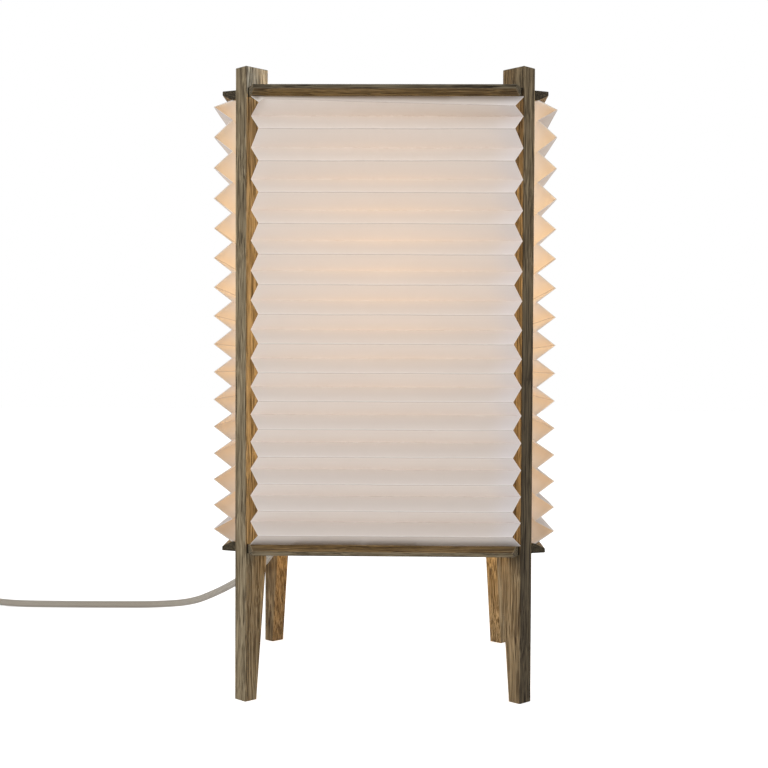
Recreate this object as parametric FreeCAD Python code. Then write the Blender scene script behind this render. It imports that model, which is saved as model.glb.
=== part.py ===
import FreeCAD, Part
import math
import os

Vec = FreeCAD.Vector
os.makedirs("parts", exist_ok=True)

# Pleated paper table lamp, in millimetres. It stands on z = 0 with its vertical axis on Z,
# and its front is towards -Y.

# Posts: four boards set on the plan's diagonals, tapered on the inner edge below the frame
LAMP_HEIGHT = 480.0
POST_SETBACK = 21.76        # from the frame's sharp plan corner in to the post's outer narrow face
POST_THICK = 13.0
POST_DEPTH = 21.0
FOOT_DEPTH = 11.0
POST_EASE = 0.6             # rounding of the post's edges

# Rails: a square frame above and one below the paper, bevelled on the paper's side
RAIL_REACH = 124.0          # from the axis to a rail's outer face
RAIL_DEPTH = 20.0
RAIL_BAND = 3.1             # upright part of the outer face
RAIL_BEVEL_IN = 8.0
RAIL_BEVEL_RISE = 4.2
RAIL_FACE_SETBACK = 26.6    # from the frame's sharp corner in to the end of a rail's outer face
RAIL_END_ANGLE = 22.5       # end cut, off square
RAIL_EASE = 0.6
POST_GAP = 1.0              # shadow gap between a rail's end and the post
TOP_FRAME_DROP = 16.0       # the posts' tops stand this far above the top frame
FRAME_UNDERSIDE = 113.0     # height of the bottom frame's underside

# Dowels that carry the rails on the posts and the bar on the rails
DOWEL_RADIUS = 2.0
DOWEL_BITE = 11.0           # depth of a dowel in each rail
DOWEL_SETBACK = 7.6         # from a post's outer narrow face in to the dowel, along the diagonal
DOWEL_FACE_COVER = 1.2      # wood between a dowel and the frame's flat outer side
DOWEL_FIT = 0.05

# Paper panels
PLEATS = 16
PLEAT_DEPTH = 15.0
FIRST_PLEAT = 14.6
LAST_PLEAT = 17.2
PLEAT_SAG = 1.2             # the highest full pleat's height over the lowest one's
PAPER = 0.5
PAPER_FLAP = 10.0           # glued flat on the rail
VALLEY_SETBACK = 14.3       # how much shorter than their reach half an inner fold is
RIDGE_SETBACK = 7.4         # how much shorter half an outer fold is than half an inner one
FLAP_END_GAP = 1.5          # from a flap's end to the post

# Bar and wiring cup below the lampholder
BAR_WIDTH = 26.0
BAR_DOWEL_SPACING = 14.0
CUP_RADIUS = 23.0
CUP_HEIGHT = 13.0
CUP_WALL = 1.5
CUP_SCREW_OFFSET = 15.0
CUP_SCREW_RADIUS = 1.5
CUP_SCREW_BITE = 6.0
CUP_SCREW_HEAD_RADIUS = 2.8
CUP_SCREW_HEAD = 1.8

# Threaded stem
STEM_RADIUS = 5.0
STEM_BORE = 3.9
STEM_BELOW_BAR = 4.5
STEM_LENGTH = 104.0
STEM_FIT = 0.1
NUT_ACROSS = 14.0
NUT_HEIGHT = 3.0
WASHER_RADIUS = 9.0
WASHER_HEIGHT = 1.2

# Lampholder for a 27 mm Edison screw cap
HOLDER_RADIUS = 20.0
HOLDER_WALL = 2.0
HOLDER_CAP_HEIGHT = 27.0
HOLDER_SHOULDER = 10.0
HOLDER_SKIRT_HEIGHT = 34.0
HOLDER_RIM = 1.4
INSERT_HEIGHT = 14.0
INSERT_RADIUS = 16.0
SHELL_RADIUS = 14.4
SHELL_WALL = 0.6
SHELL_HEIGHT = 23.0
CONTACT_THICK = 0.6
CONTACT_ARM = 9.0
CONTACT_RISE = 2.4
CONTACT_HALF_WIDTH = 3.0

# Globe lamp bulb
BULB_CAP_RADIUS = 13.1
BULB_CAP_HEIGHT = 21.0
BULB_CAP_WALL = 0.5
BULB_TIP_RADIUS = 4.8
BULB_TIP_HEIGHT = 1.2
BULB_INSULATOR_HEIGHT = 4.0
BULB_INSULATOR_RIM = 0.6    # how far the insulator's end stands out round the tip
BULB_COLLAR_HEIGHT = 21.0
BULB_COLLAR_NECK = 7.0      # height of the collar's narrow part
BULB_COLLAR_LOW_RADIUS = 14.0
BULB_COLLAR_HIGH_RADIUS = 24.0
BULB_GLOBE_RADIUS = 47.5
BULB_GLASS = 1.2
BULB_SEAT_GAP = 0.3         # running gap between the bulb and the holder
LIGHT_BOARD_RADIUS = 17.0
LIGHT_BOARD_THICK = 1.6
LIGHT_BOARD_FIT = 0.2

# Cord and its grip
CORD_DIAMETER = 7.0
ARC_SHARE = 0.45            # of the shorter run beside a corner, taken by its arc
GRIP_END = 50.0             # from the axis to the grip's outer end
GRIP_NECK_RADIUS = 4.6
GRIP_FLANGE_RADIUS = 5.4
GRIP_TIP_RADIUS = 4.3
GRIP_LIP = 1.6
GRIP_FIT = 0.05
ENTRY_INSIDE = 14.0         # the cord's jacket ends this far from the axis, in the cup
WIRE_RADIUS = 1.1
WIRE_OFFSET = 1.9
WIRE_RISE = 8.0             # height of the wires' ends in the lampholder

# In-line switch, lying on the floor
SWITCH_LENGTH = 62.0
SWITCH_WIDTH = 25.0
SWITCH_HEIGHT = 17.0
SWITCH_SPLIT = 8.0          # height of the joint between base and cover
SWITCH_NECK_WIDTH = 13.0
SWITCH_TAPER = 9.6          # length of each tapering end
SWITCH_CORNER = 3.0
SWITCH_TOP_EASE = 1.8
SWITCH_FOOT_CHAMFER = 0.75
SWITCH_START = (-452.0, 256.0)
SWITCH_SCREW_RADIUS = 1.3
SWITCH_SCREW_OFFSET = 21.0  # from the middle, along the switch
SWITCH_SCREW_ACROSS = 6.25  # from the middle, across the switch
SWITCH_SCREW_LENGTH = 12.0
SWITCH_SCREW_HEAD_RADIUS = 2.6
SWITCH_SCREW_HEAD = 2.0
ROCKER_HALF = 9.5
ROCKER_WIDTH = 10.0
ROCKER_PIVOT = 12.5         # height of the rocker's axis
ROCKER_END_RISE = 6.3
ROCKER_MIDDLE_RISE = 4.6
ROCKER_BELOW = 4.2
ROCKER_FOOT_HALF = 5.0
ROCKER_TILT = 8.0           # to each side of level
ROCKER_GAP = 0.4
ROCKER_PIN_RADIUS = 1.0
ROCKER_PIN_LENGTH = 2.5
ROCKER_PIN_FIT = 0.05

# Coil of spare cord
COIL_TURNS = 2.0            # in each of the two layers
COIL_OUTER_RADIUS = 44.0
COIL_SPACING = 7.8
COIL_LEAD = 46.0            # from the switch to where the coil's first turn starts

# Two-pin plug, lying on the floor
PLUG_LENGTH = 36.0
PLUG_WIDTH = 35.0
PLUG_THICK = 13.7
PLUG_TAIL_WIDTH = 12.0
PLUG_TAIL_LENGTH = 10.8
PLUG_FLARE_LENGTH = 9.0
PLUG_CORNER = 2.5
PLUG_RIM_EASE = 1.5
PIN_RADIUS = 2.0
PIN_LENGTH = 19.0
PIN_SPACING = 19.0
PIN_BITE = 8.0
SLEEVE_LENGTH = 10.0
SLEEVE_WALL = 0.35
PLUG_LEAD = 42.0            # from the coil's end to the plug
PLUG_LEAD_END = 14.0        # straight stretch at each end of that lead

# Heights and widths that follow
HALF_THICK = POST_THICK / 2
DIAGONAL = math.sqrt(2)
POST_REACH = DIAGONAL * RAIL_REACH - POST_SETBACK
DOWEL_REACH = POST_REACH - DOWEL_SETBACK
RAIL_HEIGHT = RAIL_BAND + RAIL_BEVEL_RISE
RAIL_INNER = RAIL_REACH - RAIL_DEPTH
RAIL_FACE_HALF = RAIL_REACH - RAIL_FACE_SETBACK
TOP_FRAME_TOP = LAMP_HEIGHT - TOP_FRAME_DROP
TOP_FRAME_UNDERSIDE = TOP_FRAME_TOP - RAIL_HEIGHT
FRAME_TOP = FRAME_UNDERSIDE + RAIL_HEIGHT
MITRE_SHIFT = DIAGONAL * (HALF_THICK + POST_GAP)
VALLEY_REACH = RAIL_REACH - RAIL_BEVEL_IN
RIDGE_REACH = VALLEY_REACH + PLEAT_DEPTH
VALLEY_HALF = VALLEY_REACH - VALLEY_SETBACK
RIDGE_HALF = VALLEY_HALF - RIDGE_SETBACK
DOWEL_TOP_Z = TOP_FRAME_TOP - DOWEL_FACE_COVER - DOWEL_RADIUS
DOWEL_BOTTOM_Z = FRAME_UNDERSIDE + DOWEL_FACE_COVER + DOWEL_RADIUS
CORD_RADIUS = CORD_DIAMETER / 2
FLOOR_LINE = CORD_RADIUS    # height of a lying cord's centre line
SWITCH_END = SWITCH_START[0] - SWITCH_LENGTH
COIL_CENTRE = (SWITCH_END - COIL_LEAD, SWITCH_START[1] + COIL_OUTER_RADIUS)
CORD_ENTRY_Z = FRAME_UNDERSIDE - (CUP_HEIGHT - CUP_WALL) / 2
STEM_BASE = FRAME_UNDERSIDE - STEM_BELOW_BAR
STEM_TOP = STEM_BASE + STEM_LENGTH
SHELL_BASE = STEM_TOP + HOLDER_SHOULDER + INSERT_HEIGHT
CAP_BASE = SHELL_BASE + CONTACT_THICK + CONTACT_RISE + BULB_SEAT_GAP
CAP_METAL_BASE = CAP_BASE + BULB_TIP_HEIGHT + BULB_INSULATOR_HEIGHT
COLLAR_BASE = CAP_METAL_BASE + BULB_CAP_HEIGHT
COLLAR_TOP = COLLAR_BASE + BULB_COLLAR_HEIGHT
GLOBE_Z = COLLAR_TOP + math.sqrt(BULB_GLOBE_RADIUS ** 2 - BULB_COLLAR_HIGH_RADIUS ** 2)


def save(name, shape):
    shape.exportStep("parts/" + name + ".step")
    print(name, "valid" if shape.isValid() else "NOT VALID", round(shape.Volume, 1))


def prism(points, along):
    """Extrude the closed outline by the vector along."""
    outline = Part.makePolygon(list(points) + [points[0]])
    return Part.Face(outline).extrude(along)


def turned(shape, degrees):
    """Copy of the shape turned about the lamp's axis."""
    copy = shape.copy()
    copy.rotate(Vec(0, 0, 0), Vec(0, 0, 1), degrees)
    return copy


def tube_ring(outer, inner, base, height):
    ring = Part.makeCylinder(outer, height, Vec(0, 0, base))
    return ring.cut(Part.makeCylinder(inner, height, Vec(0, 0, base)))


def revolved(profile):
    """Turn an outline of (radius, height) points about the lamp's axis."""
    points = [Vec(radius, 0, z) for radius, z in profile]
    face = Part.Face(Part.makePolygon(points + [points[0]]))
    return face.revolve(Vec(0, 0, 0), Vec(0, 0, 1), 360)


def arc_through(start, middle, end):
    return Part.Arc(start, middle, end).toShape()


# Posts

def on_diagonal(corner, shape):
    """Place a shape, modelled along +X, on one of the plan's four diagonals."""
    return turned(shape, 45 + 90 * corner)


def dowel_heights():
    return (DOWEL_BOTTOM_Z, DOWEL_TOP_Z)


def post_dowels(clearance):
    """The two dowels of one post, on the diagonal along +X."""
    half = HALF_THICK + POST_GAP + DOWEL_BITE + clearance
    radius = DOWEL_RADIUS + clearance
    rods = []
    for height in dowel_heights():
        start = Vec(DOWEL_REACH, -half, height)
        rods.append(Part.makeCylinder(radius, 2 * half, start, Vec(0, 1, 0)))
    return rods


def post():
    inner = POST_REACH - POST_DEPTH
    side = [
        Vec(POST_REACH, -HALF_THICK, 0),
        Vec(POST_REACH, -HALF_THICK, LAMP_HEIGHT),
        Vec(inner, -HALF_THICK, LAMP_HEIGHT),
        Vec(inner, -HALF_THICK, FRAME_UNDERSIDE),
        Vec(POST_REACH - FOOT_DEPTH, -HALF_THICK, 0),
    ]
    board = prism(side, Vec(0, POST_THICK, 0))
    eased = [edge for edge in board.Edges if edge.BoundBox.ZMax > FRAME_UNDERSIDE / 2]
    board = board.makeFillet(POST_EASE, eased)
    return board.cut(Part.makeCompound(post_dowels(DOWEL_FIT)))


# Rails

def rail_end():
    """Plan points at a rail's end: where the end cut leaves the face, meets the mitre, and ends."""
    slope = math.tan(math.radians(RAIL_END_ANGLE))
    mitre_at_face = RAIL_REACH - MITRE_SHIFT
    run = (mitre_at_face - RAIL_FACE_HALF) / (1 + slope)
    tip = (RAIL_FACE_HALF + slope * run, RAIL_REACH - run)
    inner = (RAIL_INNER - MITRE_SHIFT, RAIL_INNER)
    return (RAIL_FACE_HALF, RAIL_REACH), tip, inner


def front_rail(flat_side, towards_paper):
    """Front rail with its flat side at this height and its bevel towards the paper (+1 up, -1 down)."""
    band = flat_side + towards_paper * RAIL_BAND
    paper_side = flat_side + towards_paper * RAIL_HEIGHT
    section = [
        Vec(-RAIL_REACH, -RAIL_REACH, flat_side),
        Vec(-RAIL_REACH, -RAIL_INNER, flat_side),
        Vec(-RAIL_REACH, -RAIL_INNER, paper_side),
        Vec(-RAIL_REACH, -VALLEY_REACH, paper_side),
        Vec(-RAIL_REACH, -RAIL_REACH, band),
    ]
    strip = prism(section, Vec(2 * RAIL_REACH, 0, 0))
    right = [Vec(x, -y, 0) for x, y in rail_end()]
    left = [Vec(-x, -y, 0) for x, y in reversed(rail_end())]
    plan = prism(right + left, Vec(0, 0, LAMP_HEIGHT))
    rail = strip.common(plan).Solids[0]
    long_edges = [edge for edge in rail.Edges if edge.Length > RAIL_REACH]
    rail = rail.makeFillet(RAIL_EASE, long_edges)
    holes = [on_diagonal(corner, rod) for corner in range(4) for rod in post_dowels(DOWEL_FIT)]
    return rail.cut(Part.makeCompound(holes))


# Paper panels

def pleat_folds():
    """Fold points (reach, height) of the sheet's middle from the top flap to the bottom flap."""
    top = TOP_FRAME_UNDERSIDE - PAPER / 2
    bottom = FRAME_TOP + PAPER / 2
    full = PLEATS - 2
    mean = (top - bottom - FIRST_PLEAT - LAST_PLEAT) / full
    highest = 2 * mean * PLEAT_SAG / (PLEAT_SAG + 1)
    lowest = 2 * mean / (PLEAT_SAG + 1)
    heights = [FIRST_PLEAT]
    for index in range(full):
        heights.append(highest + (lowest - highest) * index / (full - 1))
    heights.append(LAST_PLEAT)
    folds = [(VALLEY_REACH - PAPER_FLAP, top), (VALLEY_REACH, top)]
    level = top
    for pleat in heights:
        folds.append((RIDGE_REACH, level - pleat / 2))
        folds.append((VALLEY_REACH, level - pleat))
        level -= pleat
    folds[-1] = (VALLEY_REACH, bottom)
    folds.append((VALLEY_REACH - PAPER_FLAP, bottom))
    return folds


def offset_fold(before, at, after, distance):
    """Fold point moved sideways by distance, so that both facets keep their thickness."""
    first = (at[0] - before[0], at[1] - before[1])
    second = (after[0] - at[0], after[1] - at[1])
    normals = []
    for dx, dz in (first, second):
        length = math.hypot(dx, dz)
        normals.append((-dz / length, dx / length))
    sum_x = normals[0][0] + normals[1][0]
    sum_z = normals[0][1] + normals[1][1]
    scale = 2 * distance / (sum_x ** 2 + sum_z ** 2)
    return (at[0] + sum_x * scale, at[1] + sum_z * scale)


def sheet_side(folds, distance):
    start, end = folds[0], folds[-1]
    side = [(start[0], start[1] + distance)]
    for before, at, after in zip(folds, folds[1:], folds[2:]):
        side.append(offset_fold(before, at, after, distance))
    side.append((end[0], end[1] - distance))
    return side


def front_panel():
    folds = pleat_folds()
    section = sheet_side(folds, PAPER / 2) + sheet_side(folds, -PAPER / 2)[::-1]
    left = -VALLEY_HALF - PLEAT_DEPTH
    outline = [Vec(left, -reach, height) for reach, height in section]
    sheet = prism(outline, Vec(-2 * left, 0, 0))
    flap_reach = VALLEY_REACH - PAPER_FLAP - PAPER
    flap_half = flap_reach - DIAGONAL * (HALF_THICK + FLAP_END_GAP)
    slant = (VALLEY_HALF - RIDGE_HALF) / PLEAT_DEPTH
    tip_reach = RIDGE_REACH + PAPER
    tip_half = RIDGE_HALF - slant * PAPER
    ends = [(tip_half, tip_reach), (VALLEY_HALF, VALLEY_REACH), (flap_half, flap_reach)]
    right = [Vec(x, -y, 0) for x, y in ends]
    mirrored = [Vec(-x, -y, 0) for x, y in reversed(ends)]
    plan = prism(right + mirrored, Vec(0, 0, LAMP_HEIGHT))
    return sheet.common(plan).Solids[0]


# Bar, cup and stem

def bar_dowels(clearance):
    rods = []
    length = 2 * (DOWEL_BITE + clearance)
    middle = FRAME_UNDERSIDE + RAIL_HEIGHT / 2
    for side in (-1, 1):
        for across in (-BAR_DOWEL_SPACING / 2, BAR_DOWEL_SPACING / 2):
            start = Vec(side * RAIL_INNER - length / 2, across, middle)
            rods.append(Part.makeCylinder(DOWEL_RADIUS + clearance, length, start, Vec(1, 0, 0)))
    return rods


def cup_screws(clearance):
    screws = []
    cup_base = FRAME_UNDERSIDE - CUP_HEIGHT
    for side in (-1, 1):
        head = Vec(0, side * CUP_SCREW_OFFSET, cup_base - CUP_SCREW_HEAD)
        base = Vec(0, side * CUP_SCREW_OFFSET, cup_base)
        length = CUP_HEIGHT + CUP_SCREW_BITE + clearance
        shank = Part.makeCylinder(CUP_SCREW_RADIUS + clearance, length, base)
        cap = Part.makeCylinder(CUP_SCREW_HEAD_RADIUS, CUP_SCREW_HEAD, head)
        screws.append(shank.fuse(cap).removeSplitter())
    return screws


def lampholder_bar():
    origin = Vec(-RAIL_INNER, -BAR_WIDTH / 2, FRAME_UNDERSIDE)
    bar = Part.makeBox(2 * RAIL_INNER, BAR_WIDTH, RAIL_HEIGHT, origin)
    long_edges = [edge for edge in bar.Edges if edge.Length > RAIL_INNER]
    bar = bar.makeFillet(RAIL_EASE, long_edges)
    hole = Part.makeCylinder(STEM_RADIUS + STEM_FIT, RAIL_HEIGHT, Vec(0, 0, FRAME_UNDERSIDE))
    cutters = [hole] + bar_dowels(DOWEL_FIT) + cup_screws(DOWEL_FIT)
    return bar.cut(Part.makeCompound(cutters))


def wiring_cup():
    base = FRAME_UNDERSIDE - CUP_HEIGHT
    inner = CUP_RADIUS - CUP_WALL
    cup = Part.makeCylinder(CUP_RADIUS, CUP_HEIGHT, Vec(0, 0, base))
    rim = [edge for edge in cup.Edges if edge.BoundBox.ZMax < base + CUP_WALL / 2]
    cup = cup.makeFillet(CUP_WALL, rim)
    cup = cup.cut(Part.makeCylinder(inner, CUP_HEIGHT, Vec(0, 0, base + CUP_WALL)))
    hole_length = CUP_RADIUS
    hole_start = Vec(-CUP_RADIUS - CUP_WALL, 0, CORD_ENTRY_Z)
    hole = Part.makeCylinder(GRIP_NECK_RADIUS + GRIP_FIT, hole_length, hole_start, Vec(1, 0, 0))
    cutters = [hole] + cup_screws(DOWEL_FIT)
    return cup.cut(Part.makeCompound(cutters))


def stem_tube():
    return tube_ring(STEM_RADIUS, STEM_BORE, STEM_BASE, STEM_LENGTH)


def hex_nut(base):
    points = []
    for side in range(6):
        angle = math.radians(60 * side)
        reach = NUT_ACROSS / 2 / math.cos(math.radians(30))
        points.append(Vec(reach * math.cos(angle), reach * math.sin(angle), base))
    nut = prism(points, Vec(0, 0, NUT_HEIGHT))
    return nut.cut(Part.makeCylinder(STEM_RADIUS + GRIP_FIT, NUT_HEIGHT, Vec(0, 0, base)))


# Lampholder

def holder_cap():
    waist = STEM_RADIUS + 2 * HOLDER_WALL
    top = STEM_TOP + HOLDER_CAP_HEIGHT
    floor = STEM_TOP - HOLDER_WALL
    inner = HOLDER_RADIUS - HOLDER_WALL
    return revolved([
        (STEM_RADIUS + GRIP_FIT, STEM_TOP - HOLDER_SHOULDER),
        (waist, STEM_TOP - HOLDER_SHOULDER),
        (waist, floor),
        (HOLDER_RADIUS - HOLDER_WALL, floor + HOLDER_WALL),
        (HOLDER_RADIUS, floor + 2 * HOLDER_WALL),
        (HOLDER_RADIUS, top),
        (inner, top),
        (inner, floor + 2 * HOLDER_WALL),
        (STEM_RADIUS + GRIP_FIT, STEM_TOP),
    ])


def holder_skirt():
    base = STEM_TOP + HOLDER_CAP_HEIGHT
    top = base + HOLDER_SKIRT_HEIGHT
    inner = HOLDER_RADIUS - HOLDER_WALL
    return revolved([
        (inner, base),
        (HOLDER_RADIUS, base),
        (HOLDER_RADIUS - HOLDER_RIM / 2, top - HOLDER_RIM),
        (HOLDER_RADIUS + HOLDER_RIM, top - HOLDER_RIM),
        (HOLDER_RADIUS + HOLDER_RIM, top),
        (inner, top),
    ])


def holder_insert():
    base = STEM_TOP + HOLDER_SHOULDER
    body = Part.makeCylinder(INSERT_RADIUS, INSERT_HEIGHT, Vec(0, 0, base))
    flange_base = base + INSERT_HEIGHT - HOLDER_WALL
    flange = Part.makeCylinder(HOLDER_RADIUS - HOLDER_WALL, HOLDER_WALL, Vec(0, 0, flange_base))
    body = body.fuse(flange).removeSplitter()
    for side in (-1, 1):
        start = Vec(0, side * WIRE_OFFSET, base)
        channel = Part.makeCylinder(WIRE_RADIUS + STEM_FIT, WIRE_RISE, start)
        body = body.cut(channel)
    return body


def centre_contact():
    low = SHELL_BASE
    high = low + CONTACT_RISE
    half = CONTACT_HALF_WIDTH
    outline = [
        Vec(-CONTACT_ARM, -half, low),
        Vec(-half, -half, low),
        Vec(half, -half, high),
        Vec(CONTACT_ARM, -half, high),
        Vec(CONTACT_ARM, -half, high + CONTACT_THICK),
        Vec(half, -half, high + CONTACT_THICK),
        Vec(-half, -half, low + CONTACT_THICK),
        Vec(-CONTACT_ARM, -half, low + CONTACT_THICK),
    ]
    return prism(outline, Vec(0, 2 * half, 0))


# Bulb

def bulb_globe():
    """Hollow opal glass: a sphere cut open at the collar."""
    parts = []
    for radius in (BULB_GLOBE_RADIUS, BULB_GLOBE_RADIUS - BULB_GLASS):
        parts.append(Part.makeSphere(radius, Vec(0, 0, GLOBE_Z)))
    below = Part.makeCylinder(BULB_GLOBE_RADIUS, COLLAR_TOP, Vec(0, 0, 0))
    return parts[0].cut(parts[1]).cut(below)


def bulb_collar():
    inner_low = BULB_COLLAR_LOW_RADIUS - BULB_GLASS
    inner_high = BULB_COLLAR_HIGH_RADIUS - BULB_GLASS
    middle = COLLAR_BASE + BULB_COLLAR_NECK
    return revolved([
        (inner_low, COLLAR_BASE),
        (BULB_COLLAR_LOW_RADIUS, COLLAR_BASE),
        (BULB_COLLAR_LOW_RADIUS + BULB_GLASS, middle),
        (BULB_COLLAR_HIGH_RADIUS, COLLAR_TOP),
        (inner_high, COLLAR_TOP),
        (inner_low + BULB_GLASS, middle),
    ])


def bulb_screw_cap():
    return tube_ring(BULB_CAP_RADIUS, BULB_CAP_RADIUS - BULB_CAP_WALL, CAP_METAL_BASE, BULB_CAP_HEIGHT)


def bulb_insulator():
    base = CAP_BASE + BULB_TIP_HEIGHT
    return Part.makeCone(BULB_TIP_RADIUS + BULB_INSULATOR_RIM, BULB_CAP_RADIUS - BULB_CAP_WALL,
                         BULB_INSULATOR_HEIGHT, Vec(0, 0, base))


def bulb_tip():
    return Part.makeCylinder(BULB_TIP_RADIUS, BULB_TIP_HEIGHT, Vec(0, 0, CAP_BASE))


def light_board():
    """Round board, seated where the collar's inner cone is just wider than it."""
    low_radius = BULB_COLLAR_LOW_RADIUS
    flare = BULB_COLLAR_HEIGHT - BULB_COLLAR_NECK
    slope = (BULB_COLLAR_HIGH_RADIUS - BULB_GLASS - low_radius) / flare
    rise = (LIGHT_BOARD_RADIUS + LIGHT_BOARD_FIT - low_radius) / slope
    base = COLLAR_BASE + BULB_COLLAR_NECK + rise
    return Part.makeCylinder(LIGHT_BOARD_RADIUS, LIGHT_BOARD_THICK, Vec(0, 0, base))


# Cord

def tube_along(points, radius, label):
    """Tube along straight runs that tangent arcs join, each arc as large as its two runs allow."""
    points = [Vec(*point) for point in points]
    edges = []
    radii = []
    at = points[0]
    for before, corner, after in zip(points, points[1:], points[2:]):
        back = before - corner
        ahead = after - corner
        turn = math.pi - back.getAngle(ahead)
        reach = ARC_SHARE * min(back.Length, ahead.Length)
        radii.append(reach / math.tan(turn / 2))
        back.normalize()
        ahead.normalize()
        start = corner + back * reach
        end = corner + ahead * reach
        inward = (back + ahead).normalize()
        depth = radii[-1] / math.cos(turn / 2) - radii[-1]
        edges.append(Part.LineSegment(at, start).toShape())
        edges.append(arc_through(start, corner + inward * depth, end))
        at = end
    edges.append(Part.LineSegment(at, points[-1]).toShape())
    path = Part.Wire(edges)
    heading = points[1] - points[0]
    ring = Part.Wire(Part.makeCircle(radius, points[0], heading))
    tube = path.makePipeShell([ring], True, False)
    expected = math.pi * radius ** 2 * path.Length
    print(label, "length", round(path.Length, 1), "volume share", round(tube.Volume / expected, 4),
          "radii", [round(radius) for radius in radii])
    return tube


def cord_grip():
    inner = CORD_RADIUS + GRIP_FIT
    wall = CUP_RADIUS - CUP_WALL
    lip_start = wall - GRIP_LIP - CUP_WALL / 2
    profile = [
        (inner, lip_start),
        (GRIP_FLANGE_RADIUS, lip_start),
        (GRIP_FLANGE_RADIUS, lip_start + GRIP_LIP),
        (GRIP_NECK_RADIUS, lip_start + GRIP_LIP),
        (GRIP_NECK_RADIUS, CUP_RADIUS),
        (GRIP_FLANGE_RADIUS, CUP_RADIUS),
        (GRIP_FLANGE_RADIUS, CUP_RADIUS + GRIP_LIP),
        (GRIP_TIP_RADIUS, GRIP_END),
        (inner, GRIP_END),
    ]
    grip = revolved(profile)
    grip.rotate(Vec(0, 0, 0), Vec(0, 1, 0), -90)
    grip.translate(Vec(0, 0, CORD_ENTRY_Z))
    return grip


def cord_entry():
    start = Vec(-GRIP_END, 0, CORD_ENTRY_Z)
    return Part.makeCylinder(CORD_RADIUS, GRIP_END - ENTRY_INSIDE, start, Vec(1, 0, 0))


def inner_wire(side):
    """One insulated core, from the cord's end in the cup up the stem to the lampholder."""
    across = side * WIRE_OFFSET
    top = STEM_TOP + HOLDER_SHOULDER + WIRE_RISE
    points = [(-ENTRY_INSIDE, across, CORD_ENTRY_Z - CORD_RADIUS / 2)]
    points.append((0, across, CORD_ENTRY_Z - CORD_RADIUS / 2))
    points.append((0, across, top))
    return tube_along(points, WIRE_RADIUS, "inner wire")


SUPPLY_ROUTE = [
    (-GRIP_END, 0, CORD_ENTRY_Z),
    (-66, 0, CORD_ENTRY_Z),
    (-81.5, 5.5, 105.2),
    (-94, 17.5, 99.5),
    (-101.5, 37, 90.5),
    (-109.5, 70, 78.5),
    (-127.5, 116, 61),
    (-149, 160, 43),
    (-174, 198, 26),
    (-203, 231, 10.5),
    (-242, 253.5, FLOOR_LINE),
    (-290, 251.5, FLOOR_LINE),
    (-346, 250.5, FLOOR_LINE),
    (-402, 253, FLOOR_LINE),
    (-432, SWITCH_START[1], SWITCH_SPLIT),
    (SWITCH_START[0], SWITCH_START[1], SWITCH_SPLIT),
]


def coil_point(angle):
    """Centre line of the coil: in along the lower layer, up a layer, and out along the upper one."""
    lower_end = 2 * math.pi * COIL_TURNS
    climb = math.pi
    middle = lower_end + climb / 2
    rate = COIL_SPACING / (2 * math.pi)
    inner = COIL_OUTER_RADIUS - rate * lower_end
    if angle < lower_end:
        radius = inner + rate * (lower_end - angle)
        share = 0
    elif angle > lower_end + climb:
        radius = inner + rate * (angle - lower_end - climb)
        share = 1
    else:
        radius = inner - rate * climb / 4 + rate * (angle - middle) ** 2 / climb
        part = (angle - lower_end) / climb
        share = part * part * (3 - 2 * part)
    turn = -math.pi / 2 - angle
    return Vec(COIL_CENTRE[0] + radius * math.cos(turn),
               COIL_CENTRE[1] + radius * math.sin(turn),
               FLOOR_LINE + COIL_SPACING * share)


def coil_heading(angle):
    step = 1e-4
    return (coil_point(angle + step) - coil_point(angle - step)).normalize()


def biarc(start, start_heading, end, end_heading):
    """Two tangent arcs from start to end with the given headings."""
    chord = end - start
    both = start_heading + end_heading
    a = 2 * (1 - start_heading.dot(end_heading))
    b = 2 * chord.dot(both)
    c = -chord.dot(chord)
    if abs(a) < 1e-9:
        reach = -c / b
    else:
        reach = (-b + math.sqrt(b * b - 4 * a * c)) / (2 * a)
    first = start + start_heading * reach
    second = end - end_heading * reach
    joint = (first + second) * 0.5
    arcs = []
    for begin, corner, finish in ((start, first, joint), (joint, second, end)):
        back = (begin - corner).normalize()
        ahead = (finish - corner).normalize()
        half = back.getAngle(ahead) / 2
        inward = (back + ahead).normalize()
        depth = reach * (1 - math.sin(half)) / math.cos(half)
        arcs.append(arc_through(begin, corner + inward * depth, finish))
    return arcs


def coil_angles():
    quarter = math.pi / 2
    last = round((4 * math.pi * COIL_TURNS + math.pi) / quarter)
    return [quarter * index for index in range(last + 1)]


def cord_coil():
    angles = coil_angles()
    first, last = coil_point(angles[0]), coil_point(angles[-1])
    lead_in = first - coil_heading(angles[0]) * CORD_DIAMETER
    lead_out = last + coil_heading(angles[-1]) * CORD_DIAMETER
    edges = [Part.LineSegment(lead_in, first).toShape()]
    for here, there in zip(angles, angles[1:]):
        edges += biarc(coil_point(here), coil_heading(here), coil_point(there), coil_heading(there))
    edges.append(Part.LineSegment(last, lead_out).toShape())
    path = Part.Wire(edges)
    ring = Part.Wire(Part.makeCircle(CORD_RADIUS, lead_in, first - lead_in))
    tube = path.makePipeShell([ring], True, False)
    expected = math.pi * CORD_RADIUS ** 2 * path.Length
    print("coil length", round(path.Length, 1), "volume share", round(tube.Volume / expected, 4),
          "least gap", round(coil_gap(), 2))
    return tube, lead_in, lead_out


def coil_gap():
    """Least gap between the coil's turns, measured on points of its centre line."""
    steps = 48
    turn = 2 * math.pi
    count = round(coil_angles()[-1] / turn * steps)
    points = [coil_point(turn * index / steps) for index in range(count + 1)]
    least = COIL_OUTER_RADIUS
    for index, point in enumerate(points):
        for other in points[index + steps // 2:]:
            least = min(least, point.distanceToPoint(other) - CORD_DIAMETER)
    return least


# Switch

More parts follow.
